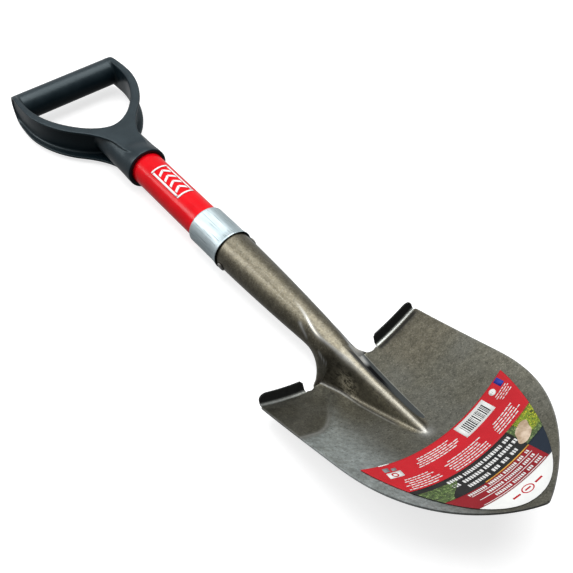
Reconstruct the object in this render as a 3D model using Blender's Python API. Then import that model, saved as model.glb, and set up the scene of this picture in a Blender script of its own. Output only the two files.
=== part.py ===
"""Round point digging shovel with a short handle and a D-grip.

A stamped steel head (blade, turned steps, raised frog and rolled socket) carries a fibreglass
tube.  A steel ferrule covers the mouth of the socket, a cross rivet locks tube and socket, and
a one-piece moulded D-grip is pushed over the other end of the tube.

All lengths are in millimetres.  x runs across the blade, y from the point of the blade to the
grip, z up from the axis of the handle.  The shovel lies on its back.
"""
import math

import bmesh
import bpy

MM = 0.001

# overall
LENGTH = 686.0
AXIS_HEIGHT = 21.65
GAP = 0.3

# blade
SHEET = 1.5
BLADE_HALF_WIDTH = 83.4
POINT_LENGTH = 124.0
POINT_POWER = 2.6
POINT_ROUND = 0.87
POINT_START_Y = 0.35
SHOULDER_START_Y = 204.0
HEEL_Y = 208.8
HEEL_Z = -22.1
FROG_TIP_Y = 108.0
FROG_TIP_Z = 6.0
TIP_Z = 52.6
DISH_RADIUS = 124.0
DISH_FLATTEN = 36.0
DISH_FLATTEN_FROM = 100.0
DISH_FLATTEN_POWER = 2.2

# turned steps
STEP_INNER_X = 39.0
STEP_OUTER_X = 82.0
STEP_HEIGHT = 10.6
STEP_BEND = 2.6
STEP_CORNER = 9.0
STEP_CORNER_LOW = 0.3
STEP_INNER_CORNER = 2.2
STEP_LEAN = 0.33
FOLD_RISE = 0.155
NOTCH_INNER_X = 29.0
NOTCH_DEPTH = 2.2

# frog, the raised ridge that runs from the socket down the blade
FROG_FLANK = math.radians(65.0)
FROG_TOP_RADIUS = 9.6
FROG_END_RADIUS = 3.6
FROG_FILLET = 6.0
FROG_START_LENGTH = 7.0
FROG_END_STEP = 0.6
FROG_WIDENING = 4.0
STRIP_START_Y = 20.0
STRIP_START_X = 9.0
STRIP_WIDENING = 1.6
STRIP_SHARE = 0.6
NECK_END_Y = 250.0
NECK_POWER = 3.1
CREST_RISE_FROM = 170.0
CREST_RISE_LENGTH = 80.0
CREST_SAG_SHARE = 0.45
NECK_SEAM_LEAD = 25.0

# socket
SOCKET_RADIUS = 18.6
SOCKET_TAPER = 4.7
SOCKET_TAPER_LENGTH = 125.0
SOCKET_TAPER_POWER = 1.6
SOCKET_STRAIGHT_Y = 360.0
SOCKET_END_Y = 398.0
SEAM_CLOSED_Y = 300.0
SEAM_OPEN_ANGLE = math.radians(42.0)
SEAM_ANGLE = math.radians(87.5)

# ferrule
FERRULE_Y = 362.0
FERRULE_TOP_Y = 405.5
FERRULE_RADIUS = 19.5
FERRULE_SHEET = 0.6
FERRULE_CURL = 2.0
FERRULE_CURL_IN = 1.3

# handle tube and the plugs inside it
TUBE_RADIUS = 17.0
TUBE_BORE = 12.0
TUBE_START_Y = 300.0
SPIGOT_CLEARANCE = 0.55
SPIGOT_SHOULDER_Y = 399.5
TUBE_TAPER_Y = 509.0
TUBE_TAPER = 2.5
TUBE_END_Y = 545.0
PLUG_INSET = 2.0
PLUG_CHAMFER = 1.5
LOWER_PLUG_LENGTH = 112.0
UPPER_PLUG_LENGTH = 58.0

# rivet through socket, tube and plug
RIVET_Y = 356.0
RIVET_RADIUS = 2.4
RIVET_HEAD_RADIUS = 4.4
RIVET_HEAD_HEIGHT = 1.7
RIVET_SEAT = 0.55
RIVET_TILT = math.radians(-15.0)

# D-grip
GRIP_DEPTH = 34.4
GRIP_FLANGE = 3.0
GRIP_WEB = 3.4
GRIP_SIDE_X = 62.3
GRIP_SIDE_Y = 643.0
GRIP_END_X = 56.4
GRIP_END_Y = 684.3
GRIP_BEND_X = 35.6
GRIP_BEND_Y = 577.5
GRIP_NECK_X = 13.4
GRIP_NECK_Y = 538.0
GRIP_FOOT_X = 12.0
GRIP_FOOT_Y = 523.0
OPENING_BOTTOM_Y = 568.7
OPENING_BEND_X = 28.3
OPENING_BEND_Y = 585.2
OPENING_SIDE_X = 55.4
OPENING_SIDE_Y = 652.8
BAR_Y = 671.8
BAR_RADIUS = 14.5
COLLAR_Y = 506.3
COLLAR_RADIUS = 21.4
COLLAR_RIM = 0.9
COLLAR_STRAIGHT_END = 511.0
COLLAR_RAMP_END = 532.0
HOUSING_START_Y = 509.0
HOUSING_START_RADIUS = 21.1
HOUSING_END_Y = 577.0
HOUSING_END_RADIUS = 20.4
RECESS_START_Y = 528.0
RECESS_STRAIGHT_Y = 556.0
RECESS_INNER_X = 9.0

# paper label on the blade and printed film on the tube
LABEL_THICKNESS = 0.25
LABEL_START_Y = 8.0
LABEL_LENGTH = 98.0
LABEL_HALF_WIDTH = 72.2
LABEL_TOP_Y = 96.8
LABEL_BOW = 0.0017
DECAL_START_Y = 436.0
DECAL_END_Y = 484.0
DECAL_HALF_ARC = 9.5
DECAL_LINE = 2.2
DECAL_FIELDS = 3
DECAL_THICKNESS = 0.25

# reach of the cutting bodies beyond the part they cut
CUTTER_REACH = 40.0


# ---------------------------------------------------------------- helpers

def clear_scene():
    for obj in list(bpy.context.scene.objects):
        bpy.data.objects.remove(obj, do_unlink=True)


def empty(name, parent=None, y=0.0, z=0.0):
    obj = bpy.data.objects.new(name, None)
    bpy.context.scene.collection.objects.link(obj)
    obj.parent = parent
    obj.location = (0.0, y * MM, z * MM)
    return obj


def material(name, colour, roughness, metallic=0.0):
    mat = bpy.data.materials.new(name)
    mat.use_nodes = True
    shader = mat.node_tree.nodes["Principled BSDF"]
    shader.inputs["Base Color"].default_value = (*colour, 1.0)
    shader.inputs["Roughness"].default_value = roughness
    shader.inputs["Metallic"].default_value = metallic
    return mat


def mesh_object(name, points, faces, mat, parent, smooth=True, closed=True):
    """A new object from points in millimetres, a closed one with its faces turned outwards."""
    mesh = bpy.data.meshes.new(name)
    mesh.from_pydata([(x * MM, y * MM, z * MM) for x, y, z in points], [], faces)
    work = bmesh.new()
    work.from_mesh(mesh)
    if closed:
        bmesh.ops.recalc_face_normals(work, faces=work.faces)
    for face in work.faces:
        face.smooth = smooth
    work.to_mesh(mesh)
    work.free()
    obj = bpy.data.objects.new(name, mesh)
    bpy.context.scene.collection.objects.link(obj)
    obj.parent = parent
    if mat:
        mesh.materials.append(mat)
    return obj


def smoothstep(t):
    t = min(1.0, max(0.0, t))
    return t * t * (3.0 - 2.0 * t)


def mix(a, b, t):
    return a + (b - a) * t


def clamp(value, low, high):
    return max(low, min(high, value))


def bezier(p0, p1, p2, p3, steps):
    """Points of a cubic curve, the last one left out."""
    points = []
    for i in range(steps):
        t = i / steps
        s = 1.0 - t
        a, b, c, d = s * s * s, 3 * s * s * t, 3 * s * t * t, t * t * t
        points.append(tuple(a * p0[k] + b * p1[k] + c * p2[k] + d * p3[k] for k in (0, 1)))
    return points


def turned(name, profile, mat, parent, segments=40):
    """A solid of revolution about the handle axis from a closed (radius, y) profile."""
    points = []
    faces = []
    count = len(profile)
    for i in range(segments):
        angle = 2.0 * math.pi * i / segments
        for radius, y in profile:
            points.append((radius * math.cos(angle), y, radius * math.sin(angle)))
    for i in range(segments):
        j = (i + 1) % segments
        for k in range(count):
            m = (k + 1) % count
            faces.append((i * count + k, i * count + m, j * count + m, j * count + k))
    return mesh_object(name, points, faces, mat, parent)


def rod(name, profile, mat, parent, segments=24):
    """A solid rod about the y axis from an open (radius, y) profile, both ends capped."""
    points = []
    faces = []
    for radius, y in profile:
        for i in range(segments):
            angle = 2.0 * math.pi * i / segments
            points.append((radius * math.cos(angle), y, radius * math.sin(angle)))
    for k in range(len(profile) - 1):
        for i in range(segments):
            j = (i + 1) % segments
            a = k * segments
            b = a + segments
            faces.append((a + i, a + j, b + j, b + i))
    last = (len(profile) - 1) * segments
    faces.append(tuple(range(segments)))
    faces.append(tuple(last + i for i in range(segments)))
    return mesh_object(name, points, faces, mat, parent)


def prism(name, outline, low, high, axis, parent, mat=None):
    """A closed outline pushed along an axis; outline pairs follow the two other axes."""
    count = len(outline)
    points = []
    for level in (low, high):
        for a, b in outline:
            if axis == "z":
                points.append((a, b, level))
            else:
                points.append((level, a, b))
    faces = [tuple(range(count)), tuple(range(2 * count - 1, count - 1, -1))]
    for i in range(count):
        j = (i + 1) % count
        faces.append((i, j, count + j, count + i))
    return mesh_object(name, points, faces, mat, parent, smooth=False)


def hide_cutter(obj):
    obj.hide_render = True
    obj.display_type = "WIRE"


def add_boolean(obj, tool, operation):
    modifier = obj.modifiers.new(tool.name, "BOOLEAN")
    modifier.object = tool
    modifier.operation = operation
    modifier.solver = "EXACT"
    hide_cutter(tool)


# ---------------------------------------------------------------- shape of the head

def blade_half_width(y):
    if y >= POINT_LENGTH:
        return BLADE_HALF_WIDTH
    t = 1.0 - (1.0 - y / POINT_LENGTH) ** POINT_POWER
    return BLADE_HALF_WIDTH * t ** POINT_ROUND


def spine_z(y):
    """Height of the middle of the blade: a parabola through heel, frog tip and point."""
    t = HEEL_Y - y
    frog = HEEL_Y - FROG_TIP_Y
    slope_frog = (FROG_TIP_Z - HEEL_Z) / frog
    slope_tip = (TIP_Z - FROG_TIP_Z) / (HEEL_Y - frog)
    bend = (slope_tip - slope_frog) / HEEL_Y
    return HEEL_Z + (slope_frog - bend * frog) * t + bend * t * t


def dish(x, y):
    t = max(0.0, (y - DISH_FLATTEN_FROM) / (HEEL_Y - DISH_FLATTEN_FROM))
    radius = DISH_RADIUS + DISH_FLATTEN * t ** DISH_FLATTEN_POWER
    return x * x / (2.0 * radius)


def blade_z(x, y):
    return spine_z(y) + dish(x, y)


def socket_radius(y):
    t = min(1.0, max(0.0, (SOCKET_STRAIGHT_Y - y) / SOCKET_TAPER_LENGTH))
    return SOCKET_RADIUS - SOCKET_TAPER * t ** SOCKET_TAPER_POWER


def crest_z(y):
    rise = smoothstep((y - CREST_RISE_FROM) / CREST_RISE_LENGTH)
    return mix(FROG_TIP_Z + FROG_END_STEP, socket_radius(y), rise)


def frog_radius(y):
    t = max(0.0, (y - FROG_TIP_Y) / (HEEL_Y - FROG_TIP_Y))
    return mix(FROG_END_RADIUS, FROG_TOP_RADIUS, t ** FROG_WIDENING)


def frog_profile(y):
    """Half profile of the frog above the blade: rounded crest, straight flank, fillet.

    Gives (height, top radius, flank angle, x at the end of the crest, of the flank, of the
    fillet).
    """
    start = smoothstep((y - FROG_TIP_Y + 1.0) / FROG_START_LENGTH)
    height = max(0.0, crest_z(y) - spine_z(y)) * start
    top = frog_radius(y)
    arcs = (top + FROG_FILLET) * (1.0 - math.cos(FROG_FLANK))
    if height > arcs:
        angle = FROG_FLANK
        flank = (height - arcs) / math.tan(angle)
    else:
        angle = math.acos(1.0 - height / (top + FROG_FILLET))
        flank = 0.0
    x_crest = top * math.sin(angle)
    x_flank = x_crest + flank
    x_foot = x_flank + FROG_FILLET * math.sin(angle)
    return height, top, angle, x_crest, x_flank, x_foot


def frog_height(x, profile):
    height, top, angle, x_crest, x_flank, x_foot = profile
    if x <= x_crest:
        return height - top + math.sqrt(max(0.0, top * top - x * x))
    at_crest = height - top * (1.0 - math.cos(angle))
    if x <= x_flank:
        return at_crest - (x - x_crest) * math.tan(angle)
    if x < x_foot:
        return FROG_FILLET - math.sqrt(FROG_FILLET ** 2 - (x_foot - x) ** 2)
    return 0.0


def strip_half_width(y):
    """Half width of the middle strip of the sheet that holds the frog."""
    t = max(0.0, (y - STRIP_START_Y) / (HEEL_Y - STRIP_START_Y))
    wide = mix(STRIP_START_X, NOTCH_INNER_X, t ** STRIP_WIDENING)
    return min(wide, STRIP_SHARE * blade_half_width(y))


def strip_samples(y, count):
    """x positions across half the strip, closer together over the rounded parts."""
    profile = frog_profile(y)
    x_crest, x_flank, x_foot = profile[3:]
    edge = strip_half_width(y)
    x_foot = clamp(x_foot, 0.5 * edge, 0.92 * edge)
    x_crest = clamp(x_crest, 0.2 * x_foot, 0.5 * x_foot)
    x_flank = clamp(x_flank, mix(x_crest, x_foot, 0.2), mix(x_crest, x_foot, 0.75))
    stops = [0.0, x_crest, x_flank, x_foot, edge]
    shares = [0.3, 0.22, 0.33, 0.15]
    xs = []
    for i in range(count + 1):
        s = i / count
        for part, share in enumerate(shares):
            if s <= share + 1e-9 or part == len(shares) - 1:
                xs.append(mix(stops[part], stops[part + 1], min(1.0, s / share)))
                break
            s -= share
    return xs, profile


def blade_strip(y, count):
    xs, profile = strip_samples(y, count)
    return [(x, y, blade_z(x, y) + frog_height(x, profile)) for x in xs]


def seam_angle(y):
    """Angle below the horizontal where the rolled socket ends."""
    start = NECK_END_Y - NECK_SEAM_LEAD
    t = smoothstep((y - start) / (SEAM_CLOSED_Y - start))
    return mix(SEAM_OPEN_ANGLE, SEAM_ANGLE, t)


def socket_strip(y, count):
    radius = socket_radius(y)
    sweep = math.pi / 2.0 + seam_angle(y)
    points = []
    for i in range(count + 1):
        angle = math.pi / 2.0 - sweep * i / count
        points.append((radius * math.cos(angle), y, radius * math.sin(angle)))
    return points


def neck_strip(y, count):
    """Between heel and socket the frog shape turns into the rolled socket, its top following the crest."""
    t = ((NECK_END_Y - y) / (NECK_END_Y - HEEL_Y)) ** NECK_POWER
    low = blade_strip(HEEL_Y, count)
    drop = crest_z(HEEL_Y) - socket_radius(y)
    sag = crest_z(y) - socket_radius(y) - t * t * drop
    round_part = socket_strip(y, count)
    points = []
    for k, ((ax, _, az), (bx, _, bz)) in enumerate(zip(round_part, low)):
        lower = sag * smoothstep(1.0 - k / (CREST_SAG_SHARE * count))
        points.append((mix(ax, bx, t), y, mix(az, bz - drop * (1.0 - t), t) + lower))
    return points


def head_strip(y, count):
    if y <= HEEL_Y:
        return blade_strip(y, count)
    if y < NECK_END_Y:
        return neck_strip(y, count)
    return socket_strip(y, count)


def fold_y(x):
    """The sheet is turned up along this line at the shoulders."""
    base = HEEL_Y + FOLD_RISE * (blade_z(x, HEEL_Y) - blade_z(STEP_INNER_X, HEEL_Y))
    if x < STEP_INNER_X:
        t = (x - NOTCH_INNER_X) / (STEP_INNER_X - NOTCH_INNER_X)
        return mix(HEEL_Y, base, t) - NOTCH_DEPTH * 4.0 * t * (1.0 - t)
    return base


def wing_row(y, shares):
    """The sheet from the strip to the cutting edge; shares are positions across it."""
    inner = strip_half_width(y)
    outer = blade_half_width(y)
    points = []
    for share in shares:
        x = mix(inner, outer, share)
        x_heel = mix(NOTCH_INNER_X, STEP_OUTER_X, share)
        shift = (fold_y(x_heel) - HEEL_Y) * (y / HEEL_Y) ** 6
        corner = max(0.0, (y - SHOULDER_START_Y) / (HEEL_Y - SHOULDER_START_Y))
        x -= (BLADE_HALF_WIDTH - STEP_OUTER_X) * share * corner ** 2
        points.append((x, y + shift, blade_z(x, y + shift)))
    return points


def step_height(x):
    """Height of the turned step, rounded off at both ends."""
    t = max(0.0, (x - STEP_OUTER_X + STEP_CORNER) / STEP_CORNER)
    low = STEP_BEND + STEP_CORNER_LOW
    inner = max(0.0, (STEP_INNER_X + STEP_INNER_CORNER - x) / STEP_INNER_CORNER)
    drop = STEP_INNER_CORNER * (1.0 - math.sqrt(max(0.0, 1.0 - inner * inner)))
    return low + (STEP_HEIGHT - low) * math.sqrt(max(0.0, 1.0 - t * t)) - drop


def step_points(x):
    """Section of a turned step: quarter bend, then a flat upstand."""
    size = math.hypot(1.0, STEP_LEAN)
    along = (1.0 / size, -STEP_LEAN / size)
    upward = (STEP_LEAN / size, 1.0 / size)
    y0 = fold_y(x)
    z0 = blade_z(x, y0)
    points = []
    for i in range(1, 4):
        angle = math.pi / 2.0 * i / 3
        a = STEP_BEND * (math.sin(angle) - 1.0)
        b = STEP_BEND * (1.0 - math.cos(angle))
        y = y0 + a * along[0] + b * upward[0]
        points.append((x, y, z0 + a * along[1] + b * upward[1]))
    for part in (0.5, 1.0):
        rise = mix(STEP_BEND, step_height(x), part)
        points.append((x, y0 + rise * upward[0], z0 + rise * upward[1]))
    return points


def blade_rows():
    """y of every row of the blade mesh, from the point to the heel."""
    rows = [mix(POINT_START_Y, POINT_LENGTH, (i / 12) ** 1.6) for i in range(12)]
    rows += [mix(POINT_LENGTH, HEEL_Y - STEP_BEND, i / 8) for i in range(9)]
    return rows


def neck_rows():
    rows = [mix(HEEL_Y, NECK_END_Y, (i / 8) ** 1.3) for i in range(9)]
    rows += [mix(NECK_END_Y, SEAM_CLOSED_Y, i / 3) for i in range(1, 4)]
    rows += [mix(SEAM_CLOSED_Y, SOCKET_END_Y, i / 5) for i in range(1, 6)]
    return rows


def head_sheet(strip_count=12, wing_count=8):
    """Front skin of the whole stamping as points and quads."""
    points = []
    faces = []

    def add_row(row):
        start = len(points)
        points.extend(row)
        return list(range(start, start + len(row)))

    def join(first, second):
        for k in range(len(first) - 1):
            faces.append((first[k], first[k + 1], second[k + 1], second[k]))

    def both_sides(half):
        return [(-x, y, z) for x, y, z in reversed(half[1:])] + half

    notch = (STEP_INNER_X - NOTCH_INNER_X) / (STEP_OUTER_X - NOTCH_INNER_X)
    shares = [notch * 0.5, notch]
    shares += [mix(notch, 1.0, (i + 1) / (wing_count - 2)) for i in range(wing_count - 2)]

    previous = None
    for y in blade_rows():
        half = blade_strip(y, strip_count) + wing_row(y, shares)
        row = add_row(both_sides(half))
        if previous:
            join(previous, row)
        previous = row

    heel = blade_strip(HEEL_Y, strip_count) + wing_row(HEEL_Y, shares)[:1]
    middle = add_row(both_sides(heel))
    side = (len(previous) - len(middle)) // 2
    join(previous[side:-side], middle)
    steps = [step_points(mix(NOTCH_INNER_X, STEP_OUTER_X, share)) for share in shares[1:]]
    for sign in (-1, 1):
        lower = previous[:side] if sign < 0 else previous[-side:]
        inner_low = previous[side] if sign < 0 else previous[-side - 1]
        inner_top = middle[0] if sign < 0 else middle[-1]
        for level in range(5):
            half = [(sign * p[level][0], p[level][1], p[level][2]) for p in steps]
            upper = add_row(half[::-1] if sign < 0 else half)
            join(lower, upper)
            if level == 0:
                near = -1 if sign < 0 else 0
                quad = (lower[near], inner_low, inner_top, upper[near])
                faces.append(quad if sign < 0 else quad[::-1])
            lower = upper

    previous = middle[1:-1]
    for y in neck_rows()[1:]:
        row = add_row(both_sides(head_strip(y, strip_count)))
        join(previous, row)
        previous = row
    return points, faces


# ---------------------------------------------------------------- parts

def make_head(parent):
    steel = material("head_steel", (0.22, 0.21, 0.19), 0.42, 1.0)
    points, faces = head_sheet()
    head = mesh_object("shovel_head", points, faces, steel, parent, closed=False)
    solidify = head.modifiers.new("sheet", "SOLIDIFY")
    solidify.thickness = SHEET * MM
    solidify.offset = -1.0
    return head


def make_ferrule(parent):
    zinc = material("ferrule_zinc", (0.62, 0.66, 0.68), 0.28, 1.0)
    outer = FERRULE_RADIUS
    inner = outer - FERRULE_SHEET
    top = FERRULE_TOP_Y
    lip = TUBE_RADIUS + GAP
    shares = ((0.15, 1.2), (0.5, 0.4), (1.0, 0.0))
    curl = [(FERRULE_CURL_IN * a, top - FERRULE_CURL * b) for a, b in shares]
    profile = [(inner, FERRULE_Y), (outer, FERRULE_Y)]
    profile += [(outer - inset, y) for inset, y in curl]
    profile += [(lip, top), (lip, top - FERRULE_SHEET)]
    profile += [(inner - FERRULE_CURL_IN + FERRULE_SHEET / 2.0, top - FERRULE_SHEET * 1.3)]
    profile += [(inner - curl[0][0], curl[0][1])]
    return turned("ferrule", profile, zinc, parent)


def make_tube(parent):
    fibreglass = material("handle_fibreglass", (0.75, 0.01, 0.02), 0.22)
    profile = [(TUBE_BORE, TUBE_END_Y), (TUBE_BORE, TUBE_START_Y)]
    for i in range(6):
        y = mix(TUBE_START_Y, SOCKET_STRAIGHT_Y, i / 5)
        profile.append((socket_radius(y) - SHEET - SPIGOT_CLEARANCE, y))
    spigot = SOCKET_RADIUS - SHEET - SPIGOT_CLEARANCE
    profile += [(spigot, SPIGOT_SHOULDER_Y - 1.0), (TUBE_RADIUS, SPIGOT_SHOULDER_Y)]
    profile += [(TUBE_RADIUS, TUBE_TAPER_Y), (TUBE_RADIUS - TUBE_TAPER, TUBE_END_Y)]
    return turned("handle_tube", profile, fibreglass, parent)


def make_plug(name, start, length, colour, parent):
    mat = material(name + "_wood", colour, 0.7)
    radius = TUBE_BORE - GAP
    end = start + length
    profile = [(radius - PLUG_CHAMFER, start), (radius, start + PLUG_CHAMFER)]
    profile += [(radius, end - PLUG_CHAMFER), (radius - PLUG_CHAMFER, end)]
    return rod(name, profile, mat, parent)


def rivet_cutter(parent):
    radius = RIVET_RADIUS + GAP
    profile = [(radius, -CUTTER_REACH), (radius, CUTTER_REACH)]
    cutter = rod("rivet_hole", profile, None, parent, segments=16)
    place_across(cutter)
    return cutter


def place_across(obj):
    """Turn a part made along y so that it lies across the handle at the rivet."""
    obj.rotation_euler = (0.0, RIVET_TILT, -math.pi / 2.0)
    obj.location = (0.0, RIVET_Y * MM, 0.0)


def make_rivet(parent):
    steel = material("rivet_steel", (0.45, 0.45, 0.44), 0.35, 1.0)
    seat = socket_radius(RIVET_Y) + RIVET_SEAT
    shares = ((1.0, 0.0), (0.85, 0.6), (0.45, 1.0))
    dome = [(RIVET_HEAD_RADIUS * a, seat + RIVET_HEAD_HEIGHT * b) for a, b in shares]
    half = [(RIVET_RADIUS, seat)] + dome
    profile = [(radius, -y) for radius, y in reversed(half)] + half
    rivet = rod("socket_rivet", profile, steel, parent, segments=16)
    place_across(rivet)
    return rivet


def grip_half_outline():
    """Outer outline of the right half of the grip, from its end to the collar."""
    end = (GRIP_END_X, GRIP_END_Y + 8.0)
    side = (GRIP_SIDE_X, GRIP_SIDE_Y)
    bend = (GRIP_BEND_X, GRIP_BEND_Y)
    neck = (GRIP_NECK_X, GRIP_NECK_Y)
    above_side = (GRIP_SIDE_X, GRIP_SIDE_Y + 16.0)
    below_side = (GRIP_SIDE_X, GRIP_SIDE_Y - 24.0)
    before_bend = (GRIP_BEND_X + 15.0, GRIP_BEND_Y + 16.0)
    after_bend = (GRIP_BEND_X - 12.2, GRIP_BEND_Y - 13.0)
    curve = bezier(end, (GRIP_END_X + 3.8, GRIP_END_Y - 8.0), above_side, side, 6)
    curve += bezier(side, below_side, before_bend, bend, 14)
    curve += bezier(bend, after_bend, (GRIP_NECK_X + 1.0, GRIP_NECK_Y + 11.5), neck, 12)
    curve += [neck, (GRIP_FOOT_X, GRIP_FOOT_Y), (GRIP_FOOT_X - 3.0, GRIP_FOOT_Y - 6.5)]
    return curve


def opening_half_outline(grow=0.0):
    """Right half of the hand opening, from the middle of its foot to the open end.

    The outline can be grown sideways to find the outer face of the web.
    """
    foot = (0.0, OPENING_BOTTOM_Y)
    bend = (OPENING_BEND_X, OPENING_BEND_Y)
    side = (OPENING_SIDE_X, OPENING_SIDE_Y)
    end = (OPENING_SIDE_X - 1.0, LENGTH + CUTTER_REACH)
    before_bend = (OPENING_BEND_X - 6.6, OPENING_BEND_Y - 7.4)
    after_bend = (OPENING_BEND_X + 16.5, OPENING_BEND_Y + 18.6)
    below_side = (OPENING_SIDE_X, OPENING_SIDE_Y - 26.8)
    curve = bezier(foot, (10.0, OPENING_BOTTOM_Y), before_bend, bend, 9)
    curve += bezier(bend, after_bend, below_side, side, 12)
    curve += [side, end]
    if not grow:
        return curve
    grown = []
    for i, (x, y) in enumerate(curve):
        ax, ay = curve[max(0, i - 1)]
        bx, by = curve[min(len(curve) - 1, i + 1)]
        size = math.hypot(bx - ax, by - ay)
        grown.append((x + grow * (by - ay) / size, y - grow * (bx - ax) / size))
    return grown


def mirrored(half):
    """Close a half outline whose first or last point may lie on the middle line."""
    left = [(-x, y) for x, y in reversed(half) if x > 1e-6]
    return half + left


def stadium(radius, centre_y, low_y, steps):
    """Side view of the grip: flat flanges joined by a half round at the end."""
    points = []
    for i in range(steps + 1):
        angle = -math.pi / 2.0 + math.pi * i / steps
        points.append((centre_y + radius * math.cos(angle), radius * math.sin(angle)))
    points += [(low_y, radius), (low_y, -radius)]
    return points


def channel_outline(sign):
    """Plan of the recess between the flanges, on the outside of one arm."""
    web = [p for p in opening_half_outline(GRIP_WEB) if p[0] > RECESS_INNER_X + 7.0]
    far = GRIP_SIDE_X + CUTTER_REACH
    outside = [(far, LENGTH + CUTTER_REACH), (far, RECESS_START_Y)]
    outside += [(RECESS_INNER_X, RECESS_START_Y), (RECESS_INNER_X, RECESS_STRAIGHT_Y)]
    return [(sign * x, y) for x, y in web + outside]


def cut_opening(grip, parent):
    outline = mirrored(opening_half_outline())
    opening = prism("hand_opening", outline, -CUTTER_REACH, CUTTER_REACH, "z", parent)
    add_boolean(grip, opening, "DIFFERENCE")


def cut_recesses(grip, end_centre, parent):
    inner = GRIP_DEPTH / 2.0 - GRIP_FLANGE
    view = stadium(inner, end_centre, COLLAR_Y, 12)
    reach = GRIP_SIDE_X + CUTTER_REACH
    for side, sign in (("left", -1.0), ("right", 1.0)):
        recess = prism("recess_" + side, channel_outline(sign), -inner, inner, "z", parent)
        shape = prism("recess_view_" + side, view, -reach, reach, "x", parent)
        add_boolean(recess, shape, "INTERSECT")
        add_boolean(grip, recess, "DIFFERENCE")


def add_bar(grip, parent):
    reach = OPENING_SIDE_X + GRIP_WEB / 2.0
    bar = rod("grip_bar", [(BAR_RADIUS, -reach), (BAR_RADIUS, reach)], None, parent, segments=32)
    bar.rotation_euler = (0.0, 0.0, -math.pi / 2.0)
    bar.location = (0.0, BAR_Y * MM, 0.0)
    add_boolean(grip, bar, "UNION")


def add_housing(grip, parent):
    """Round body between the flanges, flat where it meets the faces of the grip."""
    half_depth = GRIP_DEPTH / 2.0
    profile = [(HOUSING_START_RADIUS, HOUSING_START_Y), (HOUSING_END_RADIUS, HOUSING_END_Y)]
    housing = rod("grip_housing", profile, None, parent, segments=40)
    low = COLLAR_Y - CUTTER_REACH
    high = HOUSING_END_Y + CUTTER_REACH
    view = [(high, half_depth), (low, half_depth), (low, -half_depth), (high, -half_depth)]
    flats = prism("housing_flats", view, -CUTTER_REACH, CUTTER_REACH, "x", parent)
    add_boolean(housing, flats, "INTERSECT")
    add_boolean(grip, housing, "UNION")


def add_collar(grip, parent):
    rim = COLLAR_RIM
    profile = [(COLLAR_RADIUS - rim, COLLAR_Y), (COLLAR_RADIUS - rim * 0.3, COLLAR_Y + rim * 0.5)]
    profile += [(COLLAR_RADIUS, COLLAR_Y + rim * 1.5)]
    ramp_foot = GRIP_DEPTH / 2.0 - 1.0
    for i in range(6):
        y = mix(COLLAR_STRAIGHT_END, COLLAR_RAMP_END, i / 5)
        profile.append((mix(COLLAR_RADIUS, ramp_foot, smoothstep(i / 5)), y))
    collar = rod("grip_collar", profile, None, parent, segments=40)
    add_boolean(grip, collar, "UNION")


def cut_tube_hole(grip, parent):
    bore = TUBE_RADIUS + GAP
    profile = [(bore, COLLAR_Y - CUTTER_REACH), (bore, TUBE_TAPER_Y)]
    profile += [(bore - TUBE_TAPER, TUBE_END_Y + GAP)]
    hole = rod("tube_hole", profile, None, parent, segments=40)
    add_boolean(grip, hole, "DIFFERENCE")


def make_grip(parent):
    plastic = material("grip_plastic", (0.022, 0.027, 0.031), 0.45)
    half_depth = GRIP_DEPTH / 2.0
    end_centre = GRIP_END_Y - half_depth
    outline = mirrored(grip_half_outline())
    grip = prism("d_grip", outline, -half_depth, half_depth, "z", parent, plastic)
    reach = GRIP_SIDE_X + CUTTER_REACH
    side_view = stadium(half_depth, end_centre, COLLAR_Y, 16)
    add_boolean(grip, prism("grip_side_view", side_view, -reach, reach, "x", parent), "INTERSECT")
    cut_recesses(grip, end_centre, parent)
    add_housing(grip, parent)
    cut_opening(grip, parent)
    add_bar(grip, parent)
    add_collar(grip, parent)
    cut_tube_hole(grip, parent)
    return grip


def label_half_width(y):
    """Half width of the label: a leaf shape, full over the point and straight at the sides."""
    t = min(1.0, max(0.0, (y - LABEL_START_Y) / LABEL_LENGTH))
    return LABEL_HALF_WIDTH * (1.0 - (1.0 - t) ** 1.28) ** 0.48


def label_reach(y_middle):
    """Half width along a bowed cross line that meets the middle of the label at y_middle."""
    low, high = 0.0, LABEL_HALF_WIDTH
    for _ in range(30):
        x = (low + high) / 2.0
        if label_half_width(y_middle + LABEL_BOW * x * x) > x:
            low = x
        else:
            high = x
    return low


def label_point(x, y, lift):
    """A point over the front of the blade, square to its surface."""
    slope_x = blade_z(x + 0.5, y) - blade_z(x - 0.5, y)
    slope_y = blade_z(x, y + 0.5) - blade_z(x, y - 0.5)
    share = lift / math.sqrt(1.0 + slope_x ** 2 + slope_y ** 2)
    return x - share * slope_x, y - share * slope_y, blade_z(x, y) + share


def make_label(parent, rows=12, columns=16):
    paper = material("label_paper", (0.62, 0.05, 0.06), 0.5)
    points = []
    for lift in (GAP, GAP + LABEL_THICKNESS):
        for i in range(rows + 1):
            y_middle = mix(LABEL_START_Y + 0.3, LABEL_TOP_Y, (i / rows) ** 1.4)
            reach = label_reach(y_middle)
            for j in range(columns + 1):
                across = -1.0 + 2.0 * j / columns
                x = across * reach
                points.append(label_point(x, y_middle + LABEL_BOW * x * x, lift))
    cells = {(i, j) for i in range(rows) for j in range(columns)}
    return mesh_object("blade_label", points, skin_faces(cells, rows, columns), paper, parent)


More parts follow.
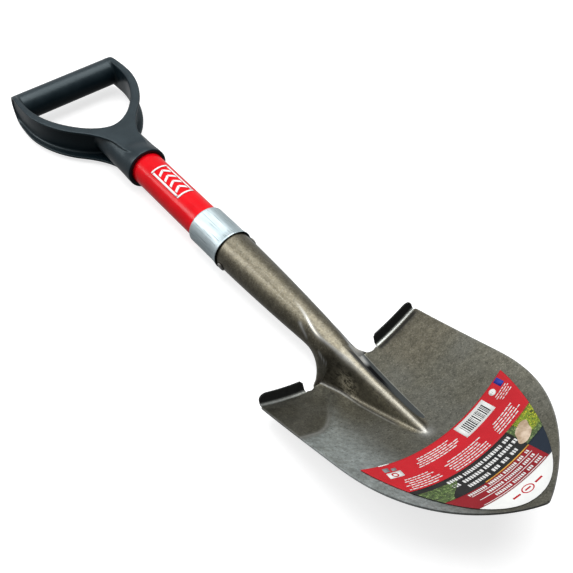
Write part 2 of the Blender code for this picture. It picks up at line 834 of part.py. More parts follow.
def skin_faces(cells, rows, columns):
    """Two skins over the kept cells of a grid, joined round every free border."""
    width = columns + 1
    layer = (rows + 1) * width
    faces = []
    for i, j in sorted(cells):
        a = i * width + j
        quad = (a, a + 1, a + width + 1, a + width)
        faces.append(quad)
        faces.append(tuple(layer + k for k in reversed(quad)))
        sides = {(i - 1, j): (a, a + 1), (i, j + 1): (a + 1, a + width + 1)}
        sides[(i + 1, j)] = (a + width + 1, a + width)
        sides[(i, j - 1)] = (a + width, a)
        for beside, (b, c) in sides.items():
            if beside not in cells:
                faces.append((b, c, layer + c, layer + b))
    return faces


def decal_grid():
    """Lines of the printed frame along the tube and round it."""
    length = DECAL_END_Y - DECAL_START_Y
    stations = [0.0, DECAL_LINE]
    for i in range(1, DECAL_FIELDS):
        middle = length * i / DECAL_FIELDS
        stations += [middle - DECAL_LINE / 2.0, middle + DECAL_LINE / 2.0]
    stations += [length - DECAL_LINE, length]
    inner = DECAL_HALF_ARC - DECAL_LINE
    arcs = [-DECAL_HALF_ARC]
    arcs += [mix(-inner, inner, i / 4) for i in range(5)]
    arcs += [DECAL_HALF_ARC]
    return stations, arcs


def make_decal(parent):
    """Plain printed frame with cross bars on the upper side of the tube."""
    film = material("decal_film", (0.85, 0.85, 0.85), 0.3)
    stations, arcs = decal_grid()
    points = []
    for lift in (GAP, GAP + DECAL_THICKNESS):
        radius = TUBE_RADIUS + lift
        for station in stations:
            for arc in arcs:
                angle = arc / TUBE_RADIUS
                y = DECAL_START_Y + station
                points.append((radius * math.sin(angle), y, radius * math.cos(angle)))
    rows = len(stations) - 1
    columns = len(arcs) - 1
    cells = {(i, j) for i in range(rows) for j in range(columns)}
    cells = {(i, j) for i, j in cells if i % 2 == 0 or j in (0, columns - 1)}
    faces = skin_faces(cells, rows, columns)
    used = sorted({k for face in faces for k in face})
    place = {k: n for n, k in enumerate(used)}
    points = [points[k] for k in used]
    faces = [tuple(place[k] for k in face) for face in faces]
    return mesh_object("handle_decal", points, faces, film, parent)


def build():
    clear_scene()
    shovel = empty("shovel")
    axis = empty("handle_axis", shovel, y=-LENGTH / 2.0, z=AXIS_HEIGHT)
    head = make_head(axis)
    make_ferrule(axis)
    tube = make_tube(axis)
    wood = (0.55, 0.40, 0.22)
    lower = make_plug("socket_plug", TUBE_START_Y + PLUG_INSET, LOWER_PLUG_LENGTH, wood, axis)
    upper_start = TUBE_END_Y - UPPER_PLUG_LENGTH - PLUG_INSET
    make_plug("grip_plug", upper_start, UPPER_PLUG_LENGTH, wood, axis)
    make_rivet(axis)
    hole = rivet_cutter(axis)
    for obj in (head, tube, lower):
        add_boolean(obj, hole, "DIFFERENCE")
    make_grip(axis)
    make_label(axis)
    make_decal(axis)


build()
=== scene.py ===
"""Looks of the round point shovel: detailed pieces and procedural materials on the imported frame.

Shapes are worked out in millimetres.  x runs across the blade, y from the point of the blade to
the grip, z up from the axis of the handle; place() turns them into the metres of the frame.
"""

import math
import random

import bmesh
import bpy
import numpy as np
from mathutils import Matrix, Vector


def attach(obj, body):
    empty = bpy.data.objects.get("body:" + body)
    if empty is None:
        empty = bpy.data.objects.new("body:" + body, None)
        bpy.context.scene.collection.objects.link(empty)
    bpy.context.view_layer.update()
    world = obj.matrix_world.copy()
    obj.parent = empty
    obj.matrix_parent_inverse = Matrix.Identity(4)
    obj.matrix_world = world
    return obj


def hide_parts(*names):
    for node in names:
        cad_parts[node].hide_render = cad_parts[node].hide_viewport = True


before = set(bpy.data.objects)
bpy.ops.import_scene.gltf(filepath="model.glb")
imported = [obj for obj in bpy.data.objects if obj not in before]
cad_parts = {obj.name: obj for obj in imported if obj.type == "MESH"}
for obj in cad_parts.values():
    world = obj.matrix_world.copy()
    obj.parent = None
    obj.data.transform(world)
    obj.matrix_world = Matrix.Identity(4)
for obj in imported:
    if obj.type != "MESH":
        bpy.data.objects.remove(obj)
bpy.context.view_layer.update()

MM = 0.001

# ---------------------------------------------------------------- sizes, as in the CAD

LENGTH = 686.0
AXIS_HEIGHT = 21.65

SHEET = 1.5
BLADE_HALF_WIDTH = 83.4
POINT_LENGTH = 124.0
POINT_POWER = 2.6
POINT_ROUND = 0.87
POINT_START_Y = 0.35
SHOULDER_START_Y = 204.0
HEEL_Y = 208.8
HEEL_Z = -22.1
FROG_TIP_Y = 108.0
FROG_TIP_Z = 6.0
TIP_Z = 52.6
DISH_RADIUS = 124.0
DISH_FLATTEN = 36.0
DISH_FLATTEN_FROM = 100.0
DISH_FLATTEN_POWER = 2.2

STEP_INNER_X = 39.0
STEP_OUTER_X = 82.0
STEP_HEIGHT = 10.6
STEP_BEND = 2.6
STEP_CORNER = 9.0
STEP_CORNER_LOW = 0.3
STEP_INNER_CORNER = 2.2
STEP_LEAN = 0.33
FOLD_RISE = 0.155
NOTCH_INNER_X = 29.0
NOTCH_DEPTH = 2.2

FROG_FLANK = math.radians(65.0)
FROG_TOP_RADIUS = 9.6
FROG_END_RADIUS = 5.0
FROG_FILLET = 6.0
FROG_START_LENGTH = 7.0
FROG_END_STEP = 0.6
FROG_WIDENING = 4.0
STRIP_START_Y = 20.0
STRIP_START_X = 9.0
STRIP_WIDENING = 1.6
STRIP_SHARE = 0.6
NECK_END_Y = 250.0
NECK_POWER = 3.1
CREST_RISE_FROM = 170.0
CREST_RISE_LENGTH = 80.0
CREST_SAG_SHARE = 0.45
NECK_SEAM_LEAD = 25.0

SOCKET_RADIUS = 18.6
SOCKET_TAPER = 4.7
SOCKET_TAPER_LENGTH = 125.0
SOCKET_TAPER_POWER = 1.6
SOCKET_STRAIGHT_Y = 360.0
SOCKET_END_Y = 398.0
SEAM_CLOSED_Y = 300.0
SEAM_OPEN_ANGLE = math.radians(42.0)
SEAM_ANGLE = math.radians(87.5)

FERRULE_Y = 362.0
FERRULE_TOP_Y = 405.5
FERRULE_RADIUS = 19.5
FERRULE_WALL = 0.45
FERRULE_FLARE = 1.0

TUBE_RADIUS = 17.0
TUBE_TAPER_Y = 509.0
TUBE_TAPER = 2.5
TUBE_END_Y = 545.0

RIVET_Y = 356.0
RIVET_RADIUS = 2.4
RIVET_HEAD_RADIUS = 4.4
RIVET_HEAD_HEIGHT = 1.7
RIVET_SEAT = 0.55
RIVET_TILT = math.radians(-15.0)

GRIP_DEPTH = 34.4
GRIP_FLANGE = 2.6
GRIP_WEB = 2.3
GRIP_SIDE = (62.3, 643.0)
GRIP_END = (56.4, 684.3)
GRIP_BEND = (35.6, 577.5)
GRIP_NECK = (13.4, 538.0)
GRIP_FOOT = (12.2, 523.0)
GRIP_HOOK = (8.6, 516.0)
OPENING_BOTTOM_Y = 568.7
OPENING_BEND = (28.3, 585.2)
OPENING_SIDE = (55.4, 652.8)
BAR_Y = 671.8
BAR_RADIUS = 14.5
COLLAR_Y = 506.3
COLLAR_RADIUS = 21.4
COLLAR_RIM = 0.9
COLLAR_STRAIGHT_END = 510.0
COLLAR_RAMP_END = 532.0
SLEEVE_DEPTH = 19.0
SLEEVE_DRAFT = 1.0
SLEEVE_ROUND_START = 526.0
SLEEVE_ROUND_END = 509.0
RECESS_START_Y = 528.0
RECESS_STRAIGHT_Y = 556.0
RECESS_INNER_X = 9.0
TUBE_GAP = 0.3

LABEL_LIFT = 0.5
LABEL_END_Y = 8.0
LABEL_LENGTH = 98.0
LABEL_HALF_WIDTH = 72.2
LABEL_BOW = 0.0017
LABEL_TOP = 96.8
LABEL_RED = 61.6
LABEL_DARK = 41.2
LABEL_MAROON = 24.4
LABEL_SPLIT_X = 33.4      # pictures and the navy panel are right of this line
PAPER = 0.12
INK = 0.03
INK_LIFT = 0.06

DECAL_START_Y = 436.5
DECAL_END_Y = 483.5
DECAL_HALF = 9.3
DECAL_LINE = 2.1
DECAL_LIFT = 0.42
CHEVRONS = 4
CHEVRON_PITCH = 9.4

# ---------------------------------------------------------------- steps of the meshes

STRIP_COUNT = 44
WING_COUNT = 36
NOTCH_COUNT = 5
BEND_LEVELS = 7
RISE_LEVELS = 6
POINT_ROWS = 64
BLADE_ROWS = 52
GRIP_CURVE = 26
GRIP_STEP = 0.75
LABEL_COLUMNS = 64

# ---------------------------------------------------------------- tones, painted shade and painted highlights on the steel

# Marks: warm tone; oxidised dark with painted shade; wear with painted highlights; painted shade;
# painted highlights and glints; a painted bluish reflection.
BLADE_MARKS = ("warm", "oxide_and_shade", "worn_and_highlight", "painted_shade", "edge", "cool_reflection")

SHADE_BAND_Y = 125.6          # nose of the painted dark band (painted shade) right of the frog
SHADE_BAND_X = 11.3
SHADE_BAND_SPLAY = 0.175
SHADE_BAND_BLACK = 2.8
STREAK_FROM = 108.0       # the bright line drifts to the left from here
STREAK_DRIFT = 4.3        # and has moved this far at the heel
STREAK_BEND = 232.0       # it bulges to the left on the socket
STREAK_BULGE = 4.0
FLANK_FROM = 125.0        # the left flank of the frog is dark from here up
RIDGE_Y = 159.0           # painted highlight line that curves over the left of the blade
RIDGE_X = -68.0
RIDGE_CURVE = 0.024
PATCH_AT = (-12.0, 187.0)
SHOULDER_AT = (-60.0, 192.0)
HEEL_GLINT = (5.0, 194.0)
FOLD_SHADE = 4.8          # shade below the fold of a step
NECK_GLINT_Y = 213.0
SIDE_STREAK_Y = (236.0, 254.0)
WEDGE_Y = (210.0, 224.0)

# ---------------------------------------------------------------- studio, in metres

STAGE_GLOW = 0.70
STAGE_HALF = 6.0
STAGE_BEND = 1.5
WORLD_BRIGHT_SIDE = (0.35, 0.84, 0.41)
WORLD_DIM = 0.10
WORLD_BRIGHT = 0.62
WORLD_COLOUR = (0.98, 0.99, 1.0, 1.0)
KEY_FROM = (0.17, 0.16, 0.97)
KEY_POWER = 2.30
KEY_ANGLE = math.radians(54.0)
STRIP_AT = (-1.13, 1.20, 1.28)
STRIP_AIM = (0.0, 0.0, 0.05)
STRIP_SIZE = (0.32, 1.4)
STRIP_POWER = 13.0

CAMERA_AT = (-0.328156, -0.478986, 0.630560)
CAMERA_TURN = math.radians(-38.0771)
CAMERA_TILT = math.radians(47.9191)
CAMERA_LENS = 58.596
CAMERA_SENSOR = 36.0


# ---------------------------------------------------------------- small helpers

def mix(a, b, t):
    return a + (b - a) * t


def clamp(value, low, high):
    return max(low, min(high, value))


def smoothstep(t):
    t = clamp(t, 0.0, 1.0)
    return t * t * (3.0 - 2.0 * t)


def rise(value, start, length):
    """Goes smoothly from 0 at the start to 1 a length further on."""
    return smoothstep((value - start) / length)


def fall(value, end, length):
    """Goes smoothly from 1 down to 0, which it reaches at the end."""
    return smoothstep((end - value) / length)


def peak(value, middle, width):
    return math.exp(-((value - middle) / width) ** 2)


def grid_smoothstep(t):
    """The same for arrays."""
    t = np.clip(t, 0.0, 1.0)
    return t * t * (3.0 - 2.0 * t)


def place(point):
    x, y, z = point
    return x * MM, (y - LENGTH / 2.0) * MM, (z + AXIS_HEIGHT) * MM


def piece(name, points, faces, look, sharp=None, outward=False):
    """A mesh piece from points in millimetres, riding on the shovel's one body."""
    mesh = bpy.data.meshes.new(name)
    mesh.from_pydata([place(p) for p in points], [], faces)
    if outward:
        work = bmesh.new()
        work.from_mesh(mesh)
        bmesh.ops.recalc_face_normals(work, faces=work.faces)
        work.to_mesh(mesh)
        work.free()
    mesh.polygons.foreach_set("use_smooth", [True] * len(mesh.polygons))
    if sharp:
        mesh.set_sharp_from_angle(angle=math.radians(sharp))
    mesh.materials.append(look)
    obj = bpy.data.objects.new(name, mesh)
    bpy.context.scene.collection.objects.link(obj)
    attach(obj, "root")
    return obj


def thicken(obj, thickness, offset=-1.0):
    """Makes a sheet solid; the thickness is in millimetres."""
    solidify = obj.modifiers.new("thickness", "SOLIDIFY")
    solidify.thickness = thickness * MM
    solidify.offset = offset


def bezier(p0, p1, p2, p3, steps):
    """Points of a cubic curve, the last one left out."""
    points = []
    for i in range(steps):
        t = i / steps
        s = 1.0 - t
        weights = (s * s * s, 3 * s * s * t, 3 * s * t * t, t * t * t)
        corners = (p0, p1, p2, p3)
        points.append(tuple(sum(w * c[k] for w, c in zip(weights, corners)) for k in (0, 1)))
    return points


def arc(radius, centre, start, end, steps):
    """(radius, y) points of a quarter or other arc in a turned profile."""
    points = []
    for i in range(steps + 1):
        angle = math.radians(mix(start, end, i / steps))
        points.append((centre[0] + radius * math.cos(angle), centre[1] + radius * math.sin(angle)))
    return points


def turned(name, profile, look, segments=128, wobble=None):
    """A solid of revolution about the handle axis from a closed (radius, y) profile."""
    points = []
    faces = []
    count = len(profile)
    for i in range(segments):
        angle = 2.0 * math.pi * i / segments
        for radius, y in profile:
            r, s = wobble(radius, y, angle) if wobble else (radius, y)
            points.append((r * math.cos(angle), s, r * math.sin(angle)))
    for i in range(segments):
        j = (i + 1) % segments
        for k in range(count):
            m = (k + 1) % count
            faces.append((i * count + k, i * count + m, j * count + m, j * count + k))
    return piece(name, points, faces, look, sharp=40.0, outward=True)


# ---------------------------------------------------------------- node materials

class Look:
    """A Principled material whose patterns are laid out in millimetres on the object."""

    def __init__(self, name, colour=(0.5, 0.5, 0.5), **values):
        self.mat = bpy.data.materials.new(name)
        self.mat.use_nodes = True
        self.tree = self.mat.node_tree
        self.shader = self.tree.nodes["Principled BSDF"]
        self.shader.inputs["Base Color"].default_value = (*colour, 1.0)
        for key, value in values.items():
            socket = key.replace("_", " ").title().replace("Ior", "IOR")
            self.shader.inputs[socket].default_value = value
        coordinates = self.tree.nodes.new("ShaderNodeTexCoord")
        self.mm = self.vector("SCALE", coordinates.outputs["Object"], factor=1.0 / MM)
        self.normal = None

    def feed(self, socket, value):
        if isinstance(value, bpy.types.NodeSocket):
            self.tree.links.new(value, socket)
        elif isinstance(value, tuple) and len(value) == 3 and len(socket.default_value) == 4:
            socket.default_value = (*value, 1.0)
        else:
            socket.default_value = value

    def vector(self, operation, a, b=None, factor=None):
        node = self.tree.nodes.new("ShaderNodeVectorMath")
        node.operation = operation
        self.feed(node.inputs[0], a)
        if b is not None:
            self.feed(node.inputs[1], b)
        if factor is not None:
            self.feed(node.inputs["Scale"], factor)
        return node.outputs["Vector"]

    def axis(self, name):
        node = self.tree.nodes.new("ShaderNodeSeparateXYZ")
        self.feed(node.inputs[0], self.mm)
        return node.outputs[name]

    def math(self, operation, a, b=0.0, limit=False):
        node = self.tree.nodes.new("ShaderNodeMath")
        node.operation = operation
        node.use_clamp = limit
        self.feed(node.inputs[0], a)
        self.feed(node.inputs[1], b)
        return node.outputs[0]

    def times(self, a, b):
        return self.math("MULTIPLY", a, b)

    def noise(self, size, detail=4.0, roughness=0.55, along=1.0, twist=0.0, shift=0.0):
        """Noise with blobs of about that size in millimetres, drawn out along the handle."""
        where = self.vector("DIVIDE", self.mm, (1.0, along, 1.0))
        where = self.vector("ADD", where, (shift, shift * 0.7, shift * 1.3))
        node = self.tree.nodes.new("ShaderNodeTexNoise")
        self.feed(node.inputs["Vector"], where)
        node.inputs["Scale"].default_value = 1.0 / size
        node.inputs["Detail"].default_value = detail
        node.inputs["Roughness"].default_value = roughness
        node.inputs["Distortion"].default_value = twist
        return node.outputs["Fac"]

    def cells(self, size, shift=0.0):
        node = self.tree.nodes.new("ShaderNodeTexVoronoi")
        self.feed(node.inputs["Vector"], self.vector("ADD", self.mm, (shift, shift, shift)))
        node.inputs["Scale"].default_value = 1.0 / size
        return node.outputs["Distance"]

    def spread(self, value, low, high, to_low=0.0, to_high=1.0):
        """A smooth step from one value at low to another at high."""
        node = self.tree.nodes.new("ShaderNodeMapRange")
        node.interpolation_type = "SMOOTHSTEP"
        for socket, number in zip(node.inputs[:5], (value, low, high, to_low, to_high)):
            self.feed(socket, number)
        return node.outputs["Result"]

    def blend(self, share, a, b):
        node = self.tree.nodes.new("ShaderNodeMix")
        node.data_type = "RGBA"
        self.feed(node.inputs["Factor"], share)
        self.feed(node.inputs[6], a)
        self.feed(node.inputs[7], b)
        return node.outputs[2]

    def attribute(self, name):
        node = self.tree.nodes.new("ShaderNodeAttribute")
        node.attribute_name = name
        return node.outputs["Fac"]

    def bump(self, height, depth, strength=1.0):
        """Adds relief; depth is in millimetres."""
        node = self.tree.nodes.new("ShaderNodeBump")
        node.inputs["Strength"].default_value = strength
        node.inputs["Distance"].default_value = depth * MM
        self.feed(node.inputs["Height"], height)
        if self.normal is not None:
            self.feed(node.inputs["Normal"], self.normal)
        self.normal = node.outputs["Normal"]
        self.feed(self.shader.inputs["Normal"], self.normal)

    def set(self, name, value):
        self.feed(self.shader.inputs[name], value)


def shade_band_masks(look):
    """Painted shade in a dark band right of the frog, with a black core and a thin painted
    highlight line along its outer border.
    """
    x = look.axis("X")
    along = look.math("SUBTRACT", look.axis("Y"), SHADE_BAND_Y - LENGTH / 2.0)
    border = look.math("ADD", look.times(along, SHADE_BAND_SPLAY), SHADE_BAND_X)
    outside = look.math("SUBTRACT", x, border)
    inner = look.spread(look.math("DIVIDE", x, border), 0.40, 0.62)
    nose = look.math("POWER", look.times(look.math("ADD", outside, 1.2), 0.8), 2.0)
    end = look.spread(look.math("SUBTRACT", along, nose), -5.2, -4.2)
    body = look.times(inner, end)
    band_shade = look.times(body, look.spread(outside, 0.3, -0.3))
    line = look.times(look.spread(outside, -0.2, 0.2), look.spread(outside, 1.0, 0.4))
    black = look.spread(outside, -SHADE_BAND_BLACK + 0.5, -SHADE_BAND_BLACK - 0.5)
    return band_shade, look.times(body, line), look.times(black, look.spread(along, 34.0, 52.0))


def head_look():
    """Heat-treated, clear-lacquered steel: speckled grey-green blade, warmer socket and frog.

    Shade and glints of the photograph that the lights don't give are blended in by the marks.
    """
    look = Look("head_steel_look", coat_roughness=0.22)
    warm = look.attribute("warm")
    cool_reflection = look.attribute("cool_reflection")
    fine = look.noise(1.5, detail=3.0, roughness=0.75)
    coarse = look.noise(7.0, detail=5.0, roughness=0.65, shift=11.0)
    cloud = look.noise(38.0, detail=3.0, roughness=0.5, shift=37.0)
    grey = look.blend(look.spread(coarse, 0.3, 0.7), (0.120, 0.117, 0.090), (0.160, 0.155, 0.120))
    grey = look.blend(look.spread(cloud, 0.35, 0.7), grey, (0.155, 0.155, 0.130))
    blue = look.blend(look.spread(coarse, 0.3, 0.7), (0.490, 0.550, 0.545), (0.640, 0.710, 0.705))
    # Painted bluish reflection: a paler blue-grey.
    grey = look.blend(cool_reflection, grey, blue)
    brown = look.blend(look.spread(coarse, 0.3, 0.72), (0.135, 0.120, 0.082), (0.200, 0.180, 0.130))
    colour = look.blend(warm, grey, brown)
    grain = look.noise(3.4, detail=3.0, roughness=0.7, shift=61.0)
    colour = look.blend(look.spread(grain, 0.35, 0.65, 0.34, 0.0), colour, (0.050, 0.048, 0.040))
    speck = look.spread(fine, 0.50, 0.66)
    colour = look.blend(look.times(speck, 0.30), colour, (0.38, 0.36, 0.29))
    pits = look.spread(look.noise(1.7, detail=3.0, roughness=0.7, shift=5.0), 0.46, 0.30)
    colour = look.blend(look.times(pits, 0.55), colour, (0.025, 0.024, 0.020))
    # Dark oxidised patches, which also carry painted shade on the left of the socket and on the
    # step upstands.
    oxide_noise = look.noise(9.0, detail=6.0, roughness=0.75, twist=0.6, shift=71.0)
    oxide_and_shade = look.times(look.attribute("oxide_and_shade"), look.spread(oxide_noise, 0.22, 0.40))
    colour = look.blend(oxide_and_shade, colour, (0.032, 0.029, 0.020))
    # Wear, which also carries painted highlights.
    worn_noise = look.noise(2.2, detail=5.0, roughness=0.75, along=2.0, shift=23.0)
    worn_and_highlight = look.times(look.attribute("worn_and_highlight"), look.spread(worn_noise, 0.40, 0.58))
    colour = look.blend(worn_and_highlight, colour, (0.66, 0.60, 0.46))
    # Painted shade band right of the frog, with its painted highlight line and its black core.
    band_shade, band_highlight, deep = shade_band_masks(look)
    colour = look.blend(look.times(band_highlight, 0.35), colour, (0.42, 0.43, 0.40))
    band_shade_colour = look.blend(deep, (0.054, 0.060, 0.060), (0.006, 0.006, 0.006))
    colour = look.blend(band_shade, colour, band_shade_colour)
    # Painted shade below the folds, on the step upstands and by the frog's feet.
    colour = look.blend(look.attribute("painted_shade"), colour, (0.012, 0.013, 0.014))
    # Painted highlights and glints.
    edge = look.attribute("edge")
    colour = look.blend(look.times(edge, 0.5), colour, (0.50, 0.51, 0.50))
    colour = look.blend(look.spread(edge, 1.0, 2.0), colour, (0.98, 0.92, 0.78))
    look.set("Base Color", colour)
    # Where shade is painted, metal, specular and coat are turned down too.
    shaded = look.math("MAXIMUM", band_shade, look.attribute("painted_shade"))
    clear = look.math("SUBTRACT", 1.0, look.times(shaded, look.spread(deep, 0.0, 1.0, 0.93, 1.0)))
    look.set("Metallic", clear)
    look.set("Specular IOR Level", look.times(clear, 0.5))
    look.set("Coat Weight", look.times(clear, 0.25))
    rough = look.spread(coarse, 0.25, 0.75, 0.34, 0.46)
    rough = look.math("ADD", rough, look.times(oxide_and_shade, 0.12))
    rough = look.math("SUBTRACT", rough, look.times(worn_and_highlight, 0.06), limit=True)
    look.set("Roughness", rough)
    look.bump(fine, 0.03, 0.7)
    look.bump(look.noise(5.0, detail=3.0, shift=3.0), 0.05, 0.5)
    look.bump(look.noise(26.0, detail=2.0, shift=19.0), 0.30, 0.5)
    scratch = look.noise(0.5, detail=2.0, roughness=0.4, along=26.0, twist=0.2, shift=9.0)
    look.bump(look.spread(scratch, 0.62, 0.75), 0.03, 0.5)
    return look.mat


def zinc_look():
    """Bright plated ferrule, scored lengthwise where it was pressed on."""
    look = Look("ferrule_zinc_look", metallic=1.0)
    streak = look.noise(0.8, detail=3.0, roughness=0.6, along=40.0, twist=0.15)
    broad = look.noise(4.5, detail=2.0, along=12.0, shift=31.0)
    spangle = look.cells(5.0, shift=4.0)
    colour = look.blend(look.spread(broad, 0.3, 0.7), (0.44, 0.53, 0.56), (0.59, 0.68, 0.71))
    colour = look.blend(look.times(spangle, 0.22), colour, (0.80, 0.87, 0.88))
    colour = look.blend(look.spread(streak, 0.55, 0.68, 0.0, 0.8), colour, (0.20, 0.26, 0.28))
    look.set("Base Color", colour)
    look.set("Roughness", look.spread(streak, 0.3, 0.7, 0.42, 0.56))
    look.bump(streak, 0.03, 0.7)
    look.bump(look.noise(9.0, detail=2.0, shift=50.0), 0.12, 0.5)
    return look.mat


def rivet_look():
    look = Look("rivet_steel_look", metallic=1.0)
    rust = look.spread(look.noise(1.6, detail=4.0), 0.5, 0.68)
    look.set("Base Color", look.blend(rust, (0.42, 0.41, 0.39), (0.16, 0.12, 0.08)))
    look.set("Roughness", look.spread(rust, 0.0, 1.0, 0.34, 0.6))
    look.bump(look.noise(0.8, detail=3.0), 0.04)
    return look.mat


def tube_look():
    """Glossy pigmented resin over lengthwise glass rovings."""
    look = Look("handle_resin_look", specular_ior_level=0.03, coat_weight=0.30, coat_roughness=0.18)
    grain = look.noise(0.7, detail=3.0, roughness=0.6, along=60.0)
    patch = look.noise(22.0, detail=2.0, shift=8.0)
    colour = look.blend(look.spread(patch, 0.35, 0.65), (0.74, 0.0015, 0.008), (0.82, 0.003, 0.010))
    colour = look.blend(look.spread(grain, 0.55, 0.8, 0.0, 0.35), colour, (0.62, 0.002, 0.008))
    scuff = look.noise(1.1, detail=5.0, roughness=0.8, along=5.0, shift=60.0)
    scuff = look.spread(scuff, 0.70, 0.78)
    colour = look.blend(look.times(scuff, 0.3), colour, (0.85, 0.25, 0.25))
    look.set("Base Color", colour)
    look.set("Roughness", look.spread(grain, 0.3, 0.7, 0.24, 0.34))
    look.bump(grain, 0.012, 0.6)
    look.bump(look.noise(14.0, detail=2.0, shift=90.0), 0.05, 0.4)
    return look.mat


def grip_look():
    """Black moulded plastic with a fine spark texture."""
    look = Look("grip_plastic_look", specular_ior_level=0.46, specular_tint=(0.80, 0.95, 1.0, 1.0))
    spark = look.noise(0.45, detail=2.0, roughness=0.6)
    patch = look.noise(16.0, detail=3.0, shift=12.0)
    colour = look.blend(look.spread(patch, 0.3, 0.7), (0.004, 0.011, 0.016), (0.008, 0.017, 0.023))
    dust = look.spread(look.noise(1.8, detail=5.0, roughness=0.75, shift=44.0), 0.66, 0.78)
    colour = look.blend(look.times(dust, 0.07), colour, (0.16, 0.17, 0.17))
    look.set("Base Color", colour)
    look.set("Roughness", look.spread(patch, 0.3, 0.7, 0.33, 0.40))
    look.bump(spark, 0.02, 0.5)
    look.bump(look.noise(18.0, detail=1.0, shift=27.0), 0.10, 0.4)
    return look.mat


def paper_look(name, colour, second=None, size=14.0):
    """Printed, lightly varnished paper in one ink colour, with a slow change of tone."""
    look = Look(name, specular_ior_level=0.22)
    tone = look.spread(look.noise(size, detail=4.0, shift=13.0), 0.3, 0.7)
    ink = look.blend(tone, colour, second or tuple(c * 0.88 for c in colour))
    fibre = look.noise(0.5, detail=3.0, roughness=0.7)
    ink = look.blend(look.spread(fibre, 0.6, 0.85, 0.0, 0.05), ink, (0.9, 0.9, 0.9))
    look.set("Base Color", ink)
    look.set("Roughness", look.spread(fibre, 0.3, 0.7, 0.42, 0.52))
    look.bump(fibre, 0.015, 0.4)
    look.bump(look.noise(10.0, detail=2.0, shift=6.0), 0.08, 0.4)
    return look.mat


def foliage_look(name, dark, leaf, sun):
    """Printed picture of leaves, as loose blotches of green and yellow on a dark ground."""
    look = Look(name, specular_ior_level=0.22)
    blades = look.noise(2.6, detail=5.0, roughness=0.75, twist=1.4)
    lights = look.noise(1.6, detail=4.0, roughness=0.7, twist=0.8, shift=21.0)
    colour = look.blend(look.spread(blades, 0.40, 0.52), dark, leaf)
    colour = look.blend(look.spread(lights, 0.52, 0.62), colour, sun)
    look.set("Base Color", colour)
    look.set("Roughness", look.spread(lights, 0.3, 0.7, 0.42, 0.50))
    look.bump(look.noise(0.5, detail=3.0), 0.015, 0.4)
    return look.mat


def wood_look():
    look = Look("plug_wood_look")
    grain = look.noise(1.2, detail=5.0, roughness=0.6, along=18.0, twist=0.5)
    rings = look.spread(grain, 0.3, 0.7)
    look.set("Base Color", look.blend(rings, (0.42, 0.27, 0.13), (0.66, 0.50, 0.30)))
    look.set("Roughness", look.spread(grain, 0.3, 0.7, 0.6, 0.8))
    look.bump(grain, 0.05)
    return look.mat


# ---------------------------------------------------------------- shape of the head

def blade_half_width(y):
    if y >= POINT_LENGTH:
        return BLADE_HALF_WIDTH
    t = 1.0 - (1.0 - max(0.0, y) / POINT_LENGTH) ** POINT_POWER
    return BLADE_HALF_WIDTH * t ** POINT_ROUND


def spine_z(y):
    """Height of the middle of the blade: a parabola through heel, frog tip and point."""
    t = HEEL_Y - y
    frog = HEEL_Y - FROG_TIP_Y
    slope_frog = (FROG_TIP_Z - HEEL_Z) / frog
    slope_tip = (TIP_Z - FROG_TIP_Z) / (HEEL_Y - frog)
    bend = (slope_tip - slope_frog) / HEEL_Y
    return HEEL_Z + (slope_frog - bend * frog) * t + bend * t * t


def dish(x, y):
    t = max(0.0, (y - DISH_FLATTEN_FROM) / (HEEL_Y - DISH_FLATTEN_FROM))
    radius = DISH_RADIUS + DISH_FLATTEN * t ** DISH_FLATTEN_POWER
    return x * x / (2.0 * radius)


def blade_z(x, y):
    return spine_z(y) + dish(x, y)


def socket_radius(y):
    t = clamp((SOCKET_STRAIGHT_Y - y) / SOCKET_TAPER_LENGTH, 0.0, 1.0)
    return SOCKET_RADIUS - SOCKET_TAPER * t ** SOCKET_TAPER_POWER


def crest_z(y):
    rise = smoothstep((y - CREST_RISE_FROM) / CREST_RISE_LENGTH)
    return mix(FROG_TIP_Z + FROG_END_STEP, socket_radius(y), rise)


def frog_radius(y):
    t = max(0.0, (y - FROG_TIP_Y) / (HEEL_Y - FROG_TIP_Y))
    return mix(FROG_END_RADIUS, FROG_TOP_RADIUS, t ** FROG_WIDENING)


def frog_profile(y):
    """Height, top radius, flank angle and the x where crest, flank and fillet end."""
    start = smoothstep((y - FROG_TIP_Y + 1.0) / FROG_START_LENGTH)
    height = max(0.0, crest_z(y) - spine_z(y)) * start
    top = frog_radius(y)
    arcs = (top + FROG_FILLET) * (1.0 - math.cos(FROG_FLANK))
    if height > arcs:
        angle = FROG_FLANK
        flank = (height - arcs) / math.tan(angle)
    else:
        angle = math.acos(1.0 - height / (top + FROG_FILLET))
        flank = 0.0
    x_crest = top * math.sin(angle)
    x_flank = x_crest + flank
    x_foot = x_flank + FROG_FILLET * math.sin(angle)
    return height, top, angle, x_crest, x_flank, x_foot


def frog_height(x, profile):
    height, top, angle, x_crest, x_flank, x_foot = profile
    if x <= x_crest:
        return height - top + math.sqrt(max(0.0, top * top - x * x))
    at_crest = height - top * (1.0 - math.cos(angle))
    if x <= x_flank:
        return at_crest - (x - x_crest) * math.tan(angle)
    if x < x_foot:
        return FROG_FILLET - math.sqrt(FROG_FILLET ** 2 - (x_foot - x) ** 2)
    return 0.0


def strip_half_width(y):
    t = max(0.0, (y - STRIP_START_Y) / (HEEL_Y - STRIP_START_Y))
    wide = mix(STRIP_START_X, NOTCH_INNER_X, t ** STRIP_WIDENING)
    return min(wide, STRIP_SHARE * blade_half_width(y))


